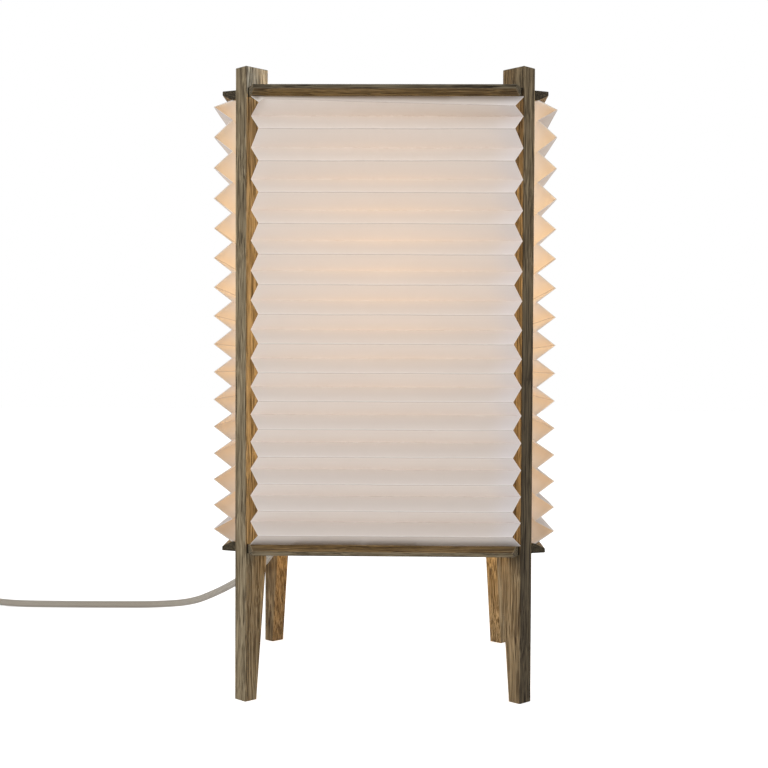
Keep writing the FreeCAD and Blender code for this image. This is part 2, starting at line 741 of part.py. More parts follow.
def switch_outline(half_length, half_width, height):
    neck = SWITCH_NECK_WIDTH / 2
    shoulder = half_length - SWITCH_TAPER
    corners = [
        (half_length, neck), (shoulder, half_width), (-shoulder, half_width), (-half_length, neck),
        (-half_length, -neck), (-shoulder, -half_width), (shoulder, -half_width), (half_length, -neck),
    ]
    return [Vec(x, y, height) for x, y in corners]


def placed_switch(shape):
    """Move a switch piece, modelled about the vertical through its middle, to its place."""
    copy = shape.copy()
    copy.translate(Vec(SWITCH_START[0] - SWITCH_LENGTH / 2, SWITCH_START[1], 0))
    return copy


def rocker_well():
    reach = math.hypot(ROCKER_HALF, ROCKER_END_RISE) + ROCKER_GAP
    width = ROCKER_WIDTH + 2 * ROCKER_GAP
    depth = math.hypot(ROCKER_FOOT_HALF, ROCKER_BELOW) + ROCKER_GAP
    floor = ROCKER_PIVOT - depth
    origin = Vec(-reach, -width / 2, floor)
    return Part.makeBox(2 * reach, width, SWITCH_HEIGHT, origin)


def rocker_pins(clearance):
    half = ROCKER_WIDTH / 2 + ROCKER_PIN_LENGTH + clearance
    start = Vec(0, -half, ROCKER_PIVOT)
    return Part.makeCylinder(ROCKER_PIN_RADIUS + clearance, 2 * half, start, Vec(0, 1, 0))


def switch_screws(clearance):
    rods = []
    for side in (-1, 1):
        low = Vec(side * SWITCH_SCREW_OFFSET, SWITCH_SCREW_ACROSS, 0)
        base = Vec(low.x, low.y, SWITCH_SCREW_HEAD)
        shank = Part.makeCylinder(SWITCH_SCREW_RADIUS + clearance, SWITCH_SCREW_LENGTH + clearance, base)
        head = Part.makeCylinder(SWITCH_SCREW_HEAD_RADIUS + clearance, SWITCH_SCREW_HEAD, low)
        rods.append(shank.fuse(head).removeSplitter())
    return rods


def switch_base():
    outline = switch_outline(SWITCH_LENGTH / 2, SWITCH_WIDTH / 2, 0)
    body = prism(outline, Vec(0, 0, SWITCH_SPLIT))
    upright = [edge for edge in body.Edges if edge.BoundBox.ZLength > SWITCH_SPLIT / 2]
    body = body.makeFillet(SWITCH_CORNER, upright)
    low = [edge for edge in body.Edges if edge.BoundBox.ZMax < SWITCH_FOOT_CHAMFER]
    body = body.makeChamfer(SWITCH_FOOT_CHAMFER, low)
    cutters = [rocker_well()] + switch_screws(DOWEL_FIT)
    return body.cut(Part.makeCompound(cutters))


def switch_cover():
    outline = switch_outline(SWITCH_LENGTH / 2, SWITCH_WIDTH / 2, SWITCH_SPLIT)
    body = prism(outline, Vec(0, 0, SWITCH_HEIGHT - SWITCH_SPLIT))
    upright = [edge for edge in body.Edges if edge.BoundBox.ZLength > (SWITCH_HEIGHT - SWITCH_SPLIT) / 2]
    body = body.makeFillet(SWITCH_CORNER, upright)
    rim = [edge for edge in body.Edges if edge.BoundBox.ZMin > SWITCH_HEIGHT - SWITCH_TOP_EASE]
    body = body.makeFillet(SWITCH_TOP_EASE, rim)
    cutters = [rocker_well(), rocker_pins(ROCKER_PIN_FIT)] + switch_screws(DOWEL_FIT)
    return body.cut(Part.makeCompound(cutters))


def switch_rocker():
    half_width = ROCKER_WIDTH / 2
    outline = [
        (-ROCKER_HALF, 0), (-ROCKER_HALF, ROCKER_END_RISE), (0, ROCKER_MIDDLE_RISE),
        (ROCKER_HALF, ROCKER_END_RISE), (ROCKER_HALF, 0),
        (ROCKER_FOOT_HALF, -ROCKER_BELOW), (-ROCKER_FOOT_HALF, -ROCKER_BELOW),
    ]
    points = [Vec(x, -half_width, ROCKER_PIVOT + z) for x, z in outline]
    body = prism(points, Vec(0, ROCKER_WIDTH, 0)).fuse(rocker_pins(0)).removeSplitter()
    body.rotate(Vec(0, 0, ROCKER_PIVOT), Vec(0, 1, 0), -ROCKER_TILT)
    return body


# Plug

def plug_pins():
    pins = []
    for side in (-1, 1):
        start = Vec(PLUG_LENGTH - PIN_BITE, side * PIN_SPACING / 2, PLUG_THICK / 2)
        shank = Part.makeCylinder(PIN_RADIUS, PIN_BITE + PIN_LENGTH, start, Vec(1, 0, 0))
        tip = [edge for edge in shank.Edges if edge.BoundBox.XMin > PLUG_LENGTH + PIN_LENGTH / 2]
        pins.append(shank.makeFillet(PIN_RADIUS / 2, tip))
    return pins


def plug_sleeves():
    sleeves = []
    for side in (-1, 1):
        start = Vec(PLUG_LENGTH, side * PIN_SPACING / 2, PLUG_THICK / 2)
        outer = Part.makeCylinder(PIN_RADIUS + SLEEVE_WALL, SLEEVE_LENGTH, start, Vec(1, 0, 0))
        inner = Part.makeCylinder(PIN_RADIUS, SLEEVE_LENGTH, start, Vec(1, 0, 0))
        sleeves.append(outer.cut(inner))
    return sleeves


def plug_body():
    tail = PLUG_TAIL_WIDTH / 2
    half = PLUG_WIDTH / 2
    flare = PLUG_TAIL_LENGTH + PLUG_FLARE_LENGTH
    outline = [
        (0, tail), (PLUG_TAIL_LENGTH, tail), (flare, half), (PLUG_LENGTH, half),
        (PLUG_LENGTH, -half), (flare, -half), (PLUG_TAIL_LENGTH, -tail), (0, -tail),
    ]
    body = prism([Vec(x, y, 0) for x, y in outline], Vec(0, 0, PLUG_THICK))
    upright = [edge for edge in body.Edges if edge.BoundBox.ZLength > PLUG_THICK / 2]
    body = body.makeFillet(PLUG_CORNER, upright)
    rims = [edge for edge in body.Edges if edge.BoundBox.ZLength < PLUG_THICK / 2]
    body = body.makeFillet(PLUG_RIM_EASE, rims)
    return body.cut(Part.makeCompound(plug_pins()))


def placed_plug(shape, tail):
    copy = shape.copy()
    copy.translate(Vec(tail.x, tail.y, 0))
    return copy


# Build every piece

corner_names = ["rear_right", "rear_left", "front_left", "front_right"]
for corner, name in enumerate(corner_names):
    save("post_" + name, on_diagonal(corner, post()))

side_names = ["front", "right", "rear", "left"]
top_rail = front_rail(TOP_FRAME_TOP, -1)
bottom_rail = front_rail(FRAME_UNDERSIDE, 1)
panel = front_panel()
for quarter, name in enumerate(side_names):
    lower = turned(bottom_rail, 90 * quarter)
    if name in ("left", "right"):
        lower = lower.cut(Part.makeCompound(bar_dowels(DOWEL_FIT)))
    save("top_rail_" + name, turned(top_rail, 90 * quarter))
    save("bottom_rail_" + name, lower)
    save("paper_panel_" + name, turned(panel, 90 * quarter))

corner_rods = [on_diagonal(corner, rod) for corner in range(4) for rod in post_dowels(0)]
save("corner_dowels", Part.makeCompound(corner_rods))
save("lampholder_bar", lampholder_bar())
save("bar_dowels", Part.makeCompound(bar_dowels(0)))
save("wiring_cup", wiring_cup())
save("wiring_cup_screws", Part.makeCompound(cup_screws(0)))
save("stem_tube", stem_tube())
save("stem_nut_lower", hex_nut(FRAME_UNDERSIDE - NUT_HEIGHT))
save("stem_washer", tube_ring(WASHER_RADIUS, STEM_RADIUS + STEM_FIT, FRAME_TOP, WASHER_HEIGHT))
save("stem_nut_upper", hex_nut(FRAME_TOP + WASHER_HEIGHT))

save("holder_cap", holder_cap())
save("holder_skirt", holder_skirt())
save("holder_insert", holder_insert())
save("holder_screw_shell", tube_ring(SHELL_RADIUS, SHELL_RADIUS - SHELL_WALL, SHELL_BASE, SHELL_HEIGHT))
save("holder_centre_contact", centre_contact())

save("bulb_globe", bulb_globe())
save("bulb_collar", bulb_collar())
save("bulb_screw_cap", bulb_screw_cap())
save("bulb_insulator", bulb_insulator())
save("bulb_tip_contact", bulb_tip())
save("bulb_light_board", light_board())

save("cord_grip", cord_grip())
save("cord_entry", cord_entry())
save("inner_wires", Part.makeCompound([inner_wire(-1), inner_wire(1)]))
save("supply_cord", tube_along(SUPPLY_ROUTE, CORD_RADIUS, "supply cord"))

coil, coil_start, coil_end = cord_coil()
save("cord_coil", coil)
lead_step = (SWITCH_END - coil_start.x) / 3
coil_lead_route = [
    (SWITCH_END, SWITCH_START[1], SWITCH_SPLIT),
    (SWITCH_END - lead_step, SWITCH_START[1], SWITCH_SPLIT),
    (coil_start.x + lead_step, coil_start.y, coil_start.z),
    tuple(coil_start),
]
save("coil_lead", tube_along(coil_lead_route, CORD_RADIUS, "coil lead"))
plug_tail = Vec(coil_end.x + PLUG_LEAD, coil_end.y, PLUG_THICK / 2)
plug_lead_route = [
    tuple(coil_end),
    (coil_end.x + PLUG_LEAD_END, coil_end.y, coil_end.z),
    (plug_tail.x - PLUG_LEAD_END, plug_tail.y, plug_tail.z),
    tuple(plug_tail),
]
save("plug_lead", tube_along(plug_lead_route, CORD_RADIUS, "plug lead"))

save("switch_base", placed_switch(switch_base()))
save("switch_cover", placed_switch(switch_cover()))
save("switch_rocker", placed_switch(switch_rocker()))
save("switch_screws", placed_switch(Part.makeCompound(switch_screws(0))))
save("plug_body", placed_plug(plug_body(), plug_tail))
save("plug_pins", placed_plug(Part.makeCompound(plug_pins()), plug_tail))
save("plug_pin_sleeves", placed_plug(Part.makeCompound(plug_sleeves()), plug_tail))
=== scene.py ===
import bpy
import math
from mathutils import Matrix, Vector, noise


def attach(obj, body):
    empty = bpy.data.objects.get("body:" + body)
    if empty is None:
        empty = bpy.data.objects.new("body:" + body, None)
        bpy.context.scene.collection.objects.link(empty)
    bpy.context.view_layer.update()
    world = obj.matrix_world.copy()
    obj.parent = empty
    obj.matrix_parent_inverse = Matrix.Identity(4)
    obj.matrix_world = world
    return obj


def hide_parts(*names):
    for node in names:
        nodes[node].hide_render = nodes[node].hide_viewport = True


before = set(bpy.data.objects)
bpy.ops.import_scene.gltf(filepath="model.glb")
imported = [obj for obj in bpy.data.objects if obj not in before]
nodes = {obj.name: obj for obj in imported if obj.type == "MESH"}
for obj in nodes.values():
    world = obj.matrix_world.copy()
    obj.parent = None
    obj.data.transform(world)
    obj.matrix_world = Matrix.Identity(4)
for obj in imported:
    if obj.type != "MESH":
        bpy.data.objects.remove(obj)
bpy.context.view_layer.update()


def deselectAll():
    if bpy.context.object and bpy.context.object.mode != "OBJECT":
        bpy.ops.object.mode_set(mode="OBJECT")
    bpy.ops.object.select_all(action="DESELECT")


def makeActive(piece):
    deselectAll()
    piece.select_set(True)
    bpy.context.view_layer.objects.active = piece


def feed(tree, socket, value):
    # the value is a number, a colour or vector, or the output of another node
    if isinstance(value, (int, float)):
        socket.default_value = value
    elif isinstance(value, tuple):
        socket.default_value = (*value, 1) if socket.type == "RGBA" else value
    else:
        tree.links.new(value, socket)


def feedAll(tree, sockets, values):
    for label, value in values.items():
        feed(tree, sockets[label], value)


def calc(tree, operation, first, second=None, third=None):
    step = tree.nodes.new("ShaderNodeMath")
    step.operation = operation
    for socket, value in zip(step.inputs, (first, second, third)):
        if value is not None:
            feed(tree, socket, value)
    return step.outputs[0]


def product(tree, first, second):
    return calc(tree, "MULTIPLY", first, second)


def opposite(tree, share):
    return calc(tree, "SUBTRACT", 1, share)


def vectorCalc(tree, operation, *values):
    step = tree.nodes.new("ShaderNodeVectorMath")
    step.operation = operation
    for socket, value in zip(step.inputs, values):
        feed(tree, socket, value)
    return step.outputs


def separated(tree, vector):
    step = tree.nodes.new("ShaderNodeSeparateXYZ")
    tree.links.new(vector, step.inputs[0])
    return step.outputs


def band(tree, value, low, high):
    # 0 below low, 1 above high, smooth between
    step = tree.nodes.new("ShaderNodeMapRange")
    step.interpolation_type = "SMOOTHSTEP"
    feedAll(tree, step.inputs, {"From Min": low, "From Max": high, "Value": value})
    return step.outputs[0]


def blendColours(tree, share, first, second, mode="MIX"):
    step = tree.nodes.new("ShaderNodeMix")
    step.data_type = "RGBA"
    step.blend_type = mode
    # a mix node's colours are its sockets 6 and 7, and its third output
    for index, value in ((0, share), (6, first), (7, second)):
        feed(tree, step.inputs[index], value)
    return step.outputs[2]


def tinted(tree, colour, tint):
    return blendColours(tree, 1.0, colour, tint, "MULTIPLY")


def noiseAt(tree, vector, scale, detail=3, roughness=0.55, output="Fac"):
    step = tree.nodes.new("ShaderNodeTexNoise")
    feedAll(tree, step.inputs, {"Vector": vector, "Scale": scale, "Detail": detail, "Roughness": roughness})
    return step.outputs[output]


def stretched(tree, vector, scale, turn=(0, 0, 0), shift=(0, 0, 0)):
    step = tree.nodes.new("ShaderNodeMapping")
    feedAll(tree, step.inputs, {"Vector": vector, "Scale": scale, "Rotation": turn, "Location": shift})
    return step.outputs[0]


def floats(*labels):
    return [(label, "Float") for label in labels]


def newGroup(name, inputs, outputs):
    group = bpy.data.node_groups.new(name, "ShaderNodeTree")
    for way, sockets in (("INPUT", inputs), ("OUTPUT", outputs)):
        for label, kind in sockets:
            group.interface.new_socket(label, in_out=way, socket_type="NodeSocket" + kind)
    return group, group.nodes.new("NodeGroupInput").outputs, group.nodes.new("NodeGroupOutput").inputs


def newMaterial(name):
    material = bpy.data.materials.new(name)
    material.use_nodes = True
    tree = material.node_tree
    return material, tree, tree.nodes["Principled BSDF"]


def useGroup(tree, group, values):
    step = tree.nodes.new("ShaderNodeGroup")
    step.node_tree = group
    feedAll(tree, step.inputs, values)
    return step.outputs


def addBump(tree, shader, height, distance):
    step = tree.nodes.new("ShaderNodeBump")
    feedAll(tree, step.inputs, {"Strength": 1.0, "Distance": distance, "Height": height})
    tree.links.new(step.outputs[0], shader.inputs["Normal"])


def objectCoordinates(tree):
    return tree.nodes.new("ShaderNodeTexCoord").outputs


def dress(piece, *materials):
    piece.data.materials.clear()
    for material in materials:
        piece.data.materials.append(material)


cameraPlan = {
    "place": (0.01684, -1.0653, 0.2566),
    "turn": -0.0173,
    "tilt": -0.0265,
    "roll": 0.0044,
    "lens": 59.29,
    "sensorWidth": 36,
    "shiftY": 0.0181,
    "farthest": 50,
}


def aimCamera(plan):
    bpy.ops.object.camera_add(location=plan["place"])
    camera = bpy.context.object
    turn, tilt, roll = plan["turn"], plan["tilt"], plan["roll"]
    right = Vector((math.cos(turn), -math.sin(turn), 0))
    forward = Vector((math.sin(turn) * math.cos(tilt), math.cos(turn) * math.cos(tilt), math.sin(tilt)))
    up = right.cross(forward)
    tiltedRight = right * math.cos(roll) + up * math.sin(roll)
    tiltedUp = up * math.cos(roll) - right * math.sin(roll)
    axes = Matrix((tiltedRight, tiltedUp, -forward)).transposed()
    camera.rotation_euler = axes.to_euler()
    camera.data.lens = plan["lens"]
    camera.data.sensor_width = plan["sensorWidth"]
    camera.data.shift_y = plan["shiftY"]
    camera.data.clip_end = plan["farthest"]
    bpy.context.scene.camera = camera
    bpy.context.scene.view_settings.view_transform = "Standard"


deselectAll()
aimCamera(cameraPlan)
print("camera placed")


cordPlan = {
    "diameter": 0.007,
    "supplyLength": 0.563,
    "plugEndLength": 1.094,
    "pointsPerTurn": 16,
    "coilCentre": (-0.560, 0.300),
    "coilRadius": 0.044,
    "coilTurns": 2,             # in each of the two layers
    "coilSpacing": 0.0078,
    "splineOrder": 3,
    "supplySteps": 12,          # steps of the drawn line between two points of the route
    "plugEndSteps": 5,
    "sides": 18,
    "smoothAngle": 40,
    "strands": 8,               # in each direction round the cord
}

supplyRoute = [
    (-0.050, 0, 0.10725), (-0.066, 0, 0.10725), (-0.0815, 0.0055, 0.1052), (-0.094, 0.0175, 0.0995),
    (-0.1015, 0.037, 0.0905), (-0.1095, 0.070, 0.0785), (-0.1275, 0.116, 0.061), (-0.149, 0.160, 0.043),
    (-0.174, 0.198, 0.026), (-0.203, 0.231, 0.0105), (-0.242, 0.2535, 0.0035), (-0.290, 0.2515, 0.0035),
    (-0.346, 0.2505, 0.0035), (-0.402, 0.253, 0.0035), (-0.432, 0.256, 0.008), (-0.452, 0.256, 0.008),
]
coilLeadRoute = [
    (-0.514, 0.256, 0.008), (-0.527, 0.256, 0.008), (-0.540, 0.256, 0.0035), (-0.553, 0.256, 0.0035),
]
plugLeadRoute = [
    (-0.553, 0.344, 0.0113), (-0.539, 0.344, 0.0113), (-0.525, 0.344, 0.00685), (-0.511, 0.344, 0.00685),
]


def coilPoint(angle):
    # in along the lower layer, half a turn up, and out along the upper layer
    plan = cordPlan
    lowerEnd = 2 * math.pi * plan["coilTurns"]
    rate = plan["coilSpacing"] / (2 * math.pi)
    inner = plan["coilRadius"] - rate * lowerEnd
    if angle < lowerEnd:
        radius, share = inner + rate * (lowerEnd - angle), 0
    elif angle > lowerEnd + math.pi:
        radius, share = inner + rate * (angle - lowerEnd - math.pi), 1
    else:
        middle = lowerEnd + math.pi / 2
        radius = inner - rate * math.pi / 4 + rate * (angle - middle) ** 2 / math.pi
        part = (angle - lowerEnd) / math.pi
        share = part * part * (3 - 2 * part)
    turn = -math.pi / 2 - angle
    x, y = plan["coilCentre"]
    return (x + radius * math.cos(turn), y + radius * math.sin(turn),
            plan["diameter"] / 2 + plan["coilSpacing"] * share)


def plugEndRoute():
    # the coil has two layers and half a turn between them
    perTurn = cordPlan["pointsPerTurn"]
    steps = round((2 * cordPlan["coilTurns"] + 0.5) * perTurn)
    coil = [coilPoint(2 * math.pi * index / perTurn) for index in range(steps + 1)]
    return coilLeadRoute + coil + plugLeadRoute


def splineLine(name, route, resolution):
    # the smooth line of a cord, read back from its own spline
    curve = bpy.data.curves.new(name, "CURVE")
    curve.dimensions = "3D"
    curve.resolution_u = resolution
    spline = curve.splines.new("NURBS")
    spline.points.add(len(route) - 1)
    for point, place in zip(spline.points, route):
        point.co = (*place, 1)
    spline.order_u = cordPlan["splineOrder"]
    spline.use_endpoint_u = True
    line = bpy.data.objects.new(name, curve)
    bpy.context.scene.collection.objects.link(line)
    bpy.context.view_layer.update()
    mesh = bpy.data.meshes.new_from_object(line)
    points = [vertex.co.copy() for vertex in mesh.vertices]
    bpy.data.objects.remove(line)
    bpy.data.meshes.remove(mesh)
    return points


def ringsAlong(points, sides, radius):
    # the points of a ring at each point of the line, and how far along the cord each ring lies
    vertices, distances = [], []
    across = Vector((0, 0, 1))
    along = 0.0
    for index, point in enumerate(points):
        before = points[max(index - 1, 0)]
        after = points[min(index + 1, len(points) - 1)]
        heading = (after - before).normalized()
        across = (across - heading * across.dot(heading)).normalized()
        other = heading.cross(across)
        along += (point - before).length
        distances.append(along)
        for side in range(sides):
            angle = 2 * math.pi * side / sides
            vertices.append(point + (across * math.cos(angle) + other * math.sin(angle)) * radius)
    return vertices, distances


def braidedTube(name, points):
    # a tube with a map of metres along the cord and turns round it
    sides = cordPlan["sides"]
    vertices, distances = ringsAlong(points, sides, cordPlan["diameter"] / 2)
    faces, maps = [], []
    for index in range(len(points) - 1):
        for side in range(sides):
            following = (side + 1) % sides
            first, second = index * sides, (index + 1) * sides
            faces.append((first + side, first + following, second + following, second + side))
            low, high = side / sides, (side + 1) / sides
            maps += [(distances[index], low), (distances[index], high),
                     (distances[index + 1], high), (distances[index + 1], low)]
    faces.append(tuple(reversed(range(sides))))
    faces.append(tuple(range(len(vertices) - sides, len(vertices))))
    maps += [(0, 0)] * sides + [(distances[-1], 0)] * sides
    mesh = bpy.data.meshes.new(name)
    mesh.from_pydata(vertices, [], faces)
    layer = mesh.uv_layers.new(name="braidMap")
    for item, place in zip(layer.data, maps):
        item.uv = place
    tube = bpy.data.objects.new(name, mesh)
    bpy.context.scene.collection.objects.link(tube)
    makeActive(tube)
    bpy.ops.object.shade_smooth_by_angle(angle=math.radians(cordPlan["smoothAngle"]))
    return tube


supplyLine = splineLine("supplyLine", supplyRoute, cordPlan["supplySteps"])
plugEndLine = splineLine("plugEndLine", plugEndRoute(), cordPlan["plugEndSteps"])
supplyFlex = braidedTube("supplyFlex", supplyLine)
plugEndFlex = braidedTube("plugEndFlex", plugEndLine)
for flex, line, exitPoint, length, lay, end, carried in (
        (supplyFlex, supplyLine, supplyRoute[0], cordPlan["supplyLength"], "loose", "fitting",
         ("switch_base", "switch_cover", "switch_rocker", "switch_screws")),
        (plugEndFlex, plugEndLine, coilLeadRoute[0], cordPlan["plugEndLength"], "coiled", "plug",
         ("plug_body", "plug_pins", "plug_pin_sleeves"))):
    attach(flex, "lamp")
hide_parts("supply_cord")
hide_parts("coil_lead", "cord_coil", "plug_lead")
print("cords laid")


lightPlan = {
    "ambient": 0.60,
    "floorSize": 12,
    "floorTone": (0.9, 0.9, 0.9),
    "floorRoughness": 0.9,
    "floorLift": 0.60,          # white added to the floor where it is seen as the background
    "aim": (0, 0, 0.25),
    "bulbPower": 0.45,
    "bulbSize": 0.045,
    "bulbColour": (1.0, 0.72, 0.44),
    "bulbPlace": (0, 0, 0.338),
    # place, power and size of each soft light; all aim at the middle of the lamp
    "softLights": {
        "keyLight": ((-1.5, -1.9, 0.75), 27, 1.0),
        "fillLight": ((1.7, -1.4, 0.9), 5, 1.4),
        "lowLight": ((1.9, -0.7, 0.12), 4, 0.9),
        "rimLight": ((0.6, 1.8, 1.6), 8, 1.2),
    },
    # the light that the paper lets through to the wood beside it
    "throughColour": (1.0, 0.62, 0.22),
    "throughPower": 0.54,
    "throughSize": 0.03,
    "throughHeights": (0.17, 0.27, 0.365),
    "throughReach": 0.085,
}


def backgroundShare(tree):
    # 1 where the camera sees a place itself, or in a reflection, or through glass
    paths = tree.nodes.new("ShaderNodeLightPath").outputs
    share = calc(tree, "MAXIMUM", paths["Is Camera Ray"], paths["Is Glossy Ray"])
    return calc(tree, "MAXIMUM", share, paths["Is Transmission Ray"])


def layStage(plan):
    deselectAll()
    bpy.ops.mesh.primitive_plane_add(size=plan["floorSize"], location=(0, 0, 0))
    floor = bpy.context.object
    floor.name = "studioFloor"
    material, tree, shader = newMaterial("studioPaper")
    lift = product(tree, backgroundShare(tree), plan["floorLift"])
    feedAll(tree, shader.inputs, {
        "Base Color": plan["floorTone"], "Roughness": plan["floorRoughness"], "Specular IOR Level": 0,
        "Emission Color": (1, 1, 1), "Emission Strength": lift})
    dress(floor, material)

    world = bpy.data.worlds.new("studioWhite")
    bpy.context.scene.world = world
    world.use_nodes = True
    tree = world.node_tree
    share = calc(tree, "MULTIPLY_ADD", backgroundShare(tree), 1 - plan["ambient"], plan["ambient"])
    feedAll(tree, tree.nodes["Background"].inputs, {"Color": (1, 1, 1), "Strength": share})


def addLight(kind, name, place, power, size, colour=(1, 1, 1)):
    bpy.ops.object.light_add(type=kind, location=place)
    light = bpy.context.object
    light.name = name
    light.data.energy = power
    light.data.color = colour
    if kind == "AREA":
        light.data.size = size
        heading = Vector(lightPlan["aim"]) - Vector(place)
        light.rotation_euler = heading.to_track_quat("-Z", "Y").to_euler()
    else:
        light.data.shadow_soft_size = size
    return light


def lightWoodThroughPaper(plan, wood):
    # small lamps inside each panel that light only the wood, and that the paper doesn't shade
    receivers = bpy.data.collections.new("litWood")
    blockers = bpy.data.collections.new("shadingWood")
    for node in wood:
        receivers.objects.link(node)
        blockers.objects.link(node)
    reach = plan["throughReach"]
    for x, y in ((0, -reach), (reach, 0), (0, reach), (-reach, 0)):
        for height in plan["throughHeights"]:
            light = addLight("POINT", "throughPaper", (x, y, height), plan["throughPower"],
                             plan["throughSize"], plan["throughColour"])
            light.light_linking.receiver_collection = receivers
            light.light_linking.blocker_collection = blockers


layStage(lightPlan)
for name, (place, power, size) in lightPlan["softLights"].items():
    addLight("AREA", name, place, power, size)
addLight("POINT", "bulbGlow", lightPlan["bulbPlace"], lightPlan["bulbPower"], lightPlan["bulbSize"],
         lightPlan["bulbColour"])
print("stage and lights set")


oakPlan = {
    "pale": (0.285, 0.238, 0.155),
    "middle": (0.130, 0.101, 0.060),
    "deep": (0.022, 0.015, 0.008),
    # colour of the painted highlight along the rails' arrises
    "worn": (0.30, 0.26, 0.195),
    "brownTint": (1.12, 0.94, 0.76),
    # cool tint of the painted highlight on a pale post head
    "headTint": (0.86, 1.0, 1.29),
    "paleHead": 1.5,            # a head above this tone also takes the painted highlight's cool tint
    "roughness": 0.72,
    "poreRoughness": 0.2,       # what a pore adds
    "specular": 0.15,
    "poreDepth": 0.00012,
    # how the grain sways sideways: the stretch, detail and roughness of its noise, and its reach
    "swayStretch": (22, 22, 11),
    "swayNoise": (1.0, 2, 0.5),
    "swayReach": (0.007, 0.007, 0),
    "broadStretch": (150, 150, 5),
    # stretch, shift, detail and roughness of each layer of grain, and the band of noise it shows
    "layers": {
        "streak": ((900, 900, 9), (0, 0, 0), 3, 0.7, (0.42, 0.58)),
        "hair": ((1500, 1500, 32), (1, 2, 4), 2, 0.7, (0.42, 0.58)),
        "pore": ((1300, 1300, 15), (3, 5, 1), 2, 0.6, (0.56, 0.63)),
    },
    "baseTone": 0.12,
    "fineShare": 0.44,          # what a streak and a hair each add to the tone
    "broadShare": 0.6,
    "poreShare": 0.72,
    "grainHeight": 0.6,         # of the tone, against a pore's depth
    "deepToMiddle": (0.0, 0.42),
    "middleToPale": (0.36, 0.95),
    # how far each board's place in the tree moves its grain
    "boardShift": (0.31, 0.17, 0.73),
    "endNormal": (0.58, 0.66),
    "speckleNoise": (1100, 3, 0.8),     # scale, detail and roughness
    "speckleBand": (0.40, 0.64),
    "speckleTone": 1.7,
    "endBase": 0.2,
    "joint": 0.10,              # how much of its tone the wood keeps where shade is painted inside the joints
    "postFace": 0.1536,         # from the axis to a post's outer face, along the diagonal
    "jointDepth": 0.0015,       # from that face in to where a rail's end hides the joint
    "railFace": 0.124,
    "railEnd": 0.0974,          # half length of a rail's outer face
    "railEndSlope": 0.414,
    "railHeights": ((0.113, 0.1203), (0.4567, 0.464)),
    "bevelSlope": 0.3,          # the least upward or downward lean of a rail's bevel
    # an arris leans between the faces beside it, from the first band to the second
    "arrisFrom": (0.05, 0.2),
    "arrisTo": (0.7, 0.84),
    "hipBand": (-0.0009, -0.0006),  # where the painted highlight line on a rail's end starts, from its end cut
    # how strong the painted highlight along the arrises is, and the noise that breaks it up
    "wornShare": 0.6,
    "wornScale": 320,
    "wornBand": (0.34, 0.56),
    "leastWorn": 0.4,
    # heights over which a post's head tone and a narrow face's upper tone fade in, both partly painted light
    "headHeights": (0.445, 0.472),
    "upperHeights": (0.22, 0.42),
}

# Each board: tone of its narrow faces below and above, of its wide faces and of their heads, share of brown,
# tone of its ends, and its place in the tree. The face tones are partly the board's own and partly painted
# light and shade for how the lamps fall on each face; the front-left post's pale head is a painted highlight.
# A rail's wide faces are its bevels.
boardPlan = {
    "post_front_left": (1.00, 0.95, 0.90, 2.45, 0.20, 0.7, 0.0),
    "post_front_right": (0.38, 0.90, 0.80, 0.64, 0.45, 0.7, 1.7),
    "post_rear_left": (0.64, 0.64, 0.73, 0.85, 0.75, 0.7, 3.1),
    "post_rear_right": (0.95, 0.95, 1.18, 0.95, 0.25, 0.7, 4.6),
    "top_rail_front": (0.45, 0.45, 0.43, 0.38, 0.10, 0.75, 5.2),
    "top_rail_right": (0.78, 0.78, 0.78, 0.78, 0.30, 0.36, 6.3),
    "top_rail_rear": (0.85, 0.85, 0.85, 0.85, 0.30, 0.75, 7.7),
    "top_rail_left": (0.76, 0.76, 0.76, 0.76, 0.30, 0.36, 8.4),
    "bottom_rail_front": (0.66, 0.66, 0.48, 0.48, 0.20, 0.75, 9.8),
    "bottom_rail_right": (0.78, 0.78, 0.78, 0.78, 0.30, 0.36, 10.9),
    "bottom_rail_rear": (0.85, 0.85, 0.85, 0.85, 0.30, 0.75, 11.5),
    "bottom_rail_left": (0.82, 0.82, 0.82, 0.82, 0.30, 0.36, 12.6),
    "lampholder_bar": (0.95, 0.95, 0.95, 0.95, 0.50, 0.6, 13.9),
    "bar_dowels": (1.0, 1.0, 1.0, 1.0, 0.40, 0.6, 14.2),
    "corner_dowels": (1.0, 1.0, 1.0, 1.0, 0.40, 0.6, 15.8),
}


def oakGroup(plan):
    # grain runs along Z of the vector that comes in
    group, given, out = newGroup("oakGrain", [("Vector", "Vector"), *floats("Tone", "Brown")],
                                 [("Color", "Color"), *floats("Roughness", "Height")])
    bend = noiseAt(group, stretched(group, given["Vector"], plan["swayStretch"]), *plan["swayNoise"], "Color")
    place = vectorCalc(group, "MULTIPLY_ADD", bend, plan["swayReach"], given["Vector"])["Vector"]
    broad = noiseAt(group, stretched(group, place, plan["broadStretch"]), 1.0)
    layer = {}
    for label, (scale, shift, detail, roughness, ends) in plan["layers"].items():
        grain = noiseAt(group, stretched(group, place, scale, shift=shift), 1.0, detail, roughness)
        layer[label] = band(group, grain, *ends)
    fine = product(group, calc(group, "ADD", layer["streak"], layer["hair"]), plan["fineShare"])
    swing = calc(group, "SUBTRACT", broad, 0.5)
    tone = calc(group, "ADD", fine, calc(group, "MULTIPLY_ADD", swing, plan["broadShare"], plan["baseTone"]))
    colour = blendColours(group, band(group, tone, *plan["deepToMiddle"]), plan["deep"], plan["middle"])
    colour = blendColours(group, band(group, tone, *plan["middleToPale"]), colour, plan["pale"])
    colour = blendColours(group, product(group, layer["pore"], plan["poreShare"]), colour, plan["deep"])
    colour = blendColours(group, given["Brown"], colour, tinted(group, colour, plan["brownTint"]))
    relief = calc(group, "MULTIPLY_ADD", layer["pore"], -1.0, product(group, tone, plan["grainHeight"]))
    feedAll(group, out, {
        "Color": tinted(group, colour, given["Tone"]),
        "Roughness": calc(group, "MULTIPLY_ADD", layer["pore"], plan["poreRoughness"], plan["roughness"]),
        "Height": relief})
    return group


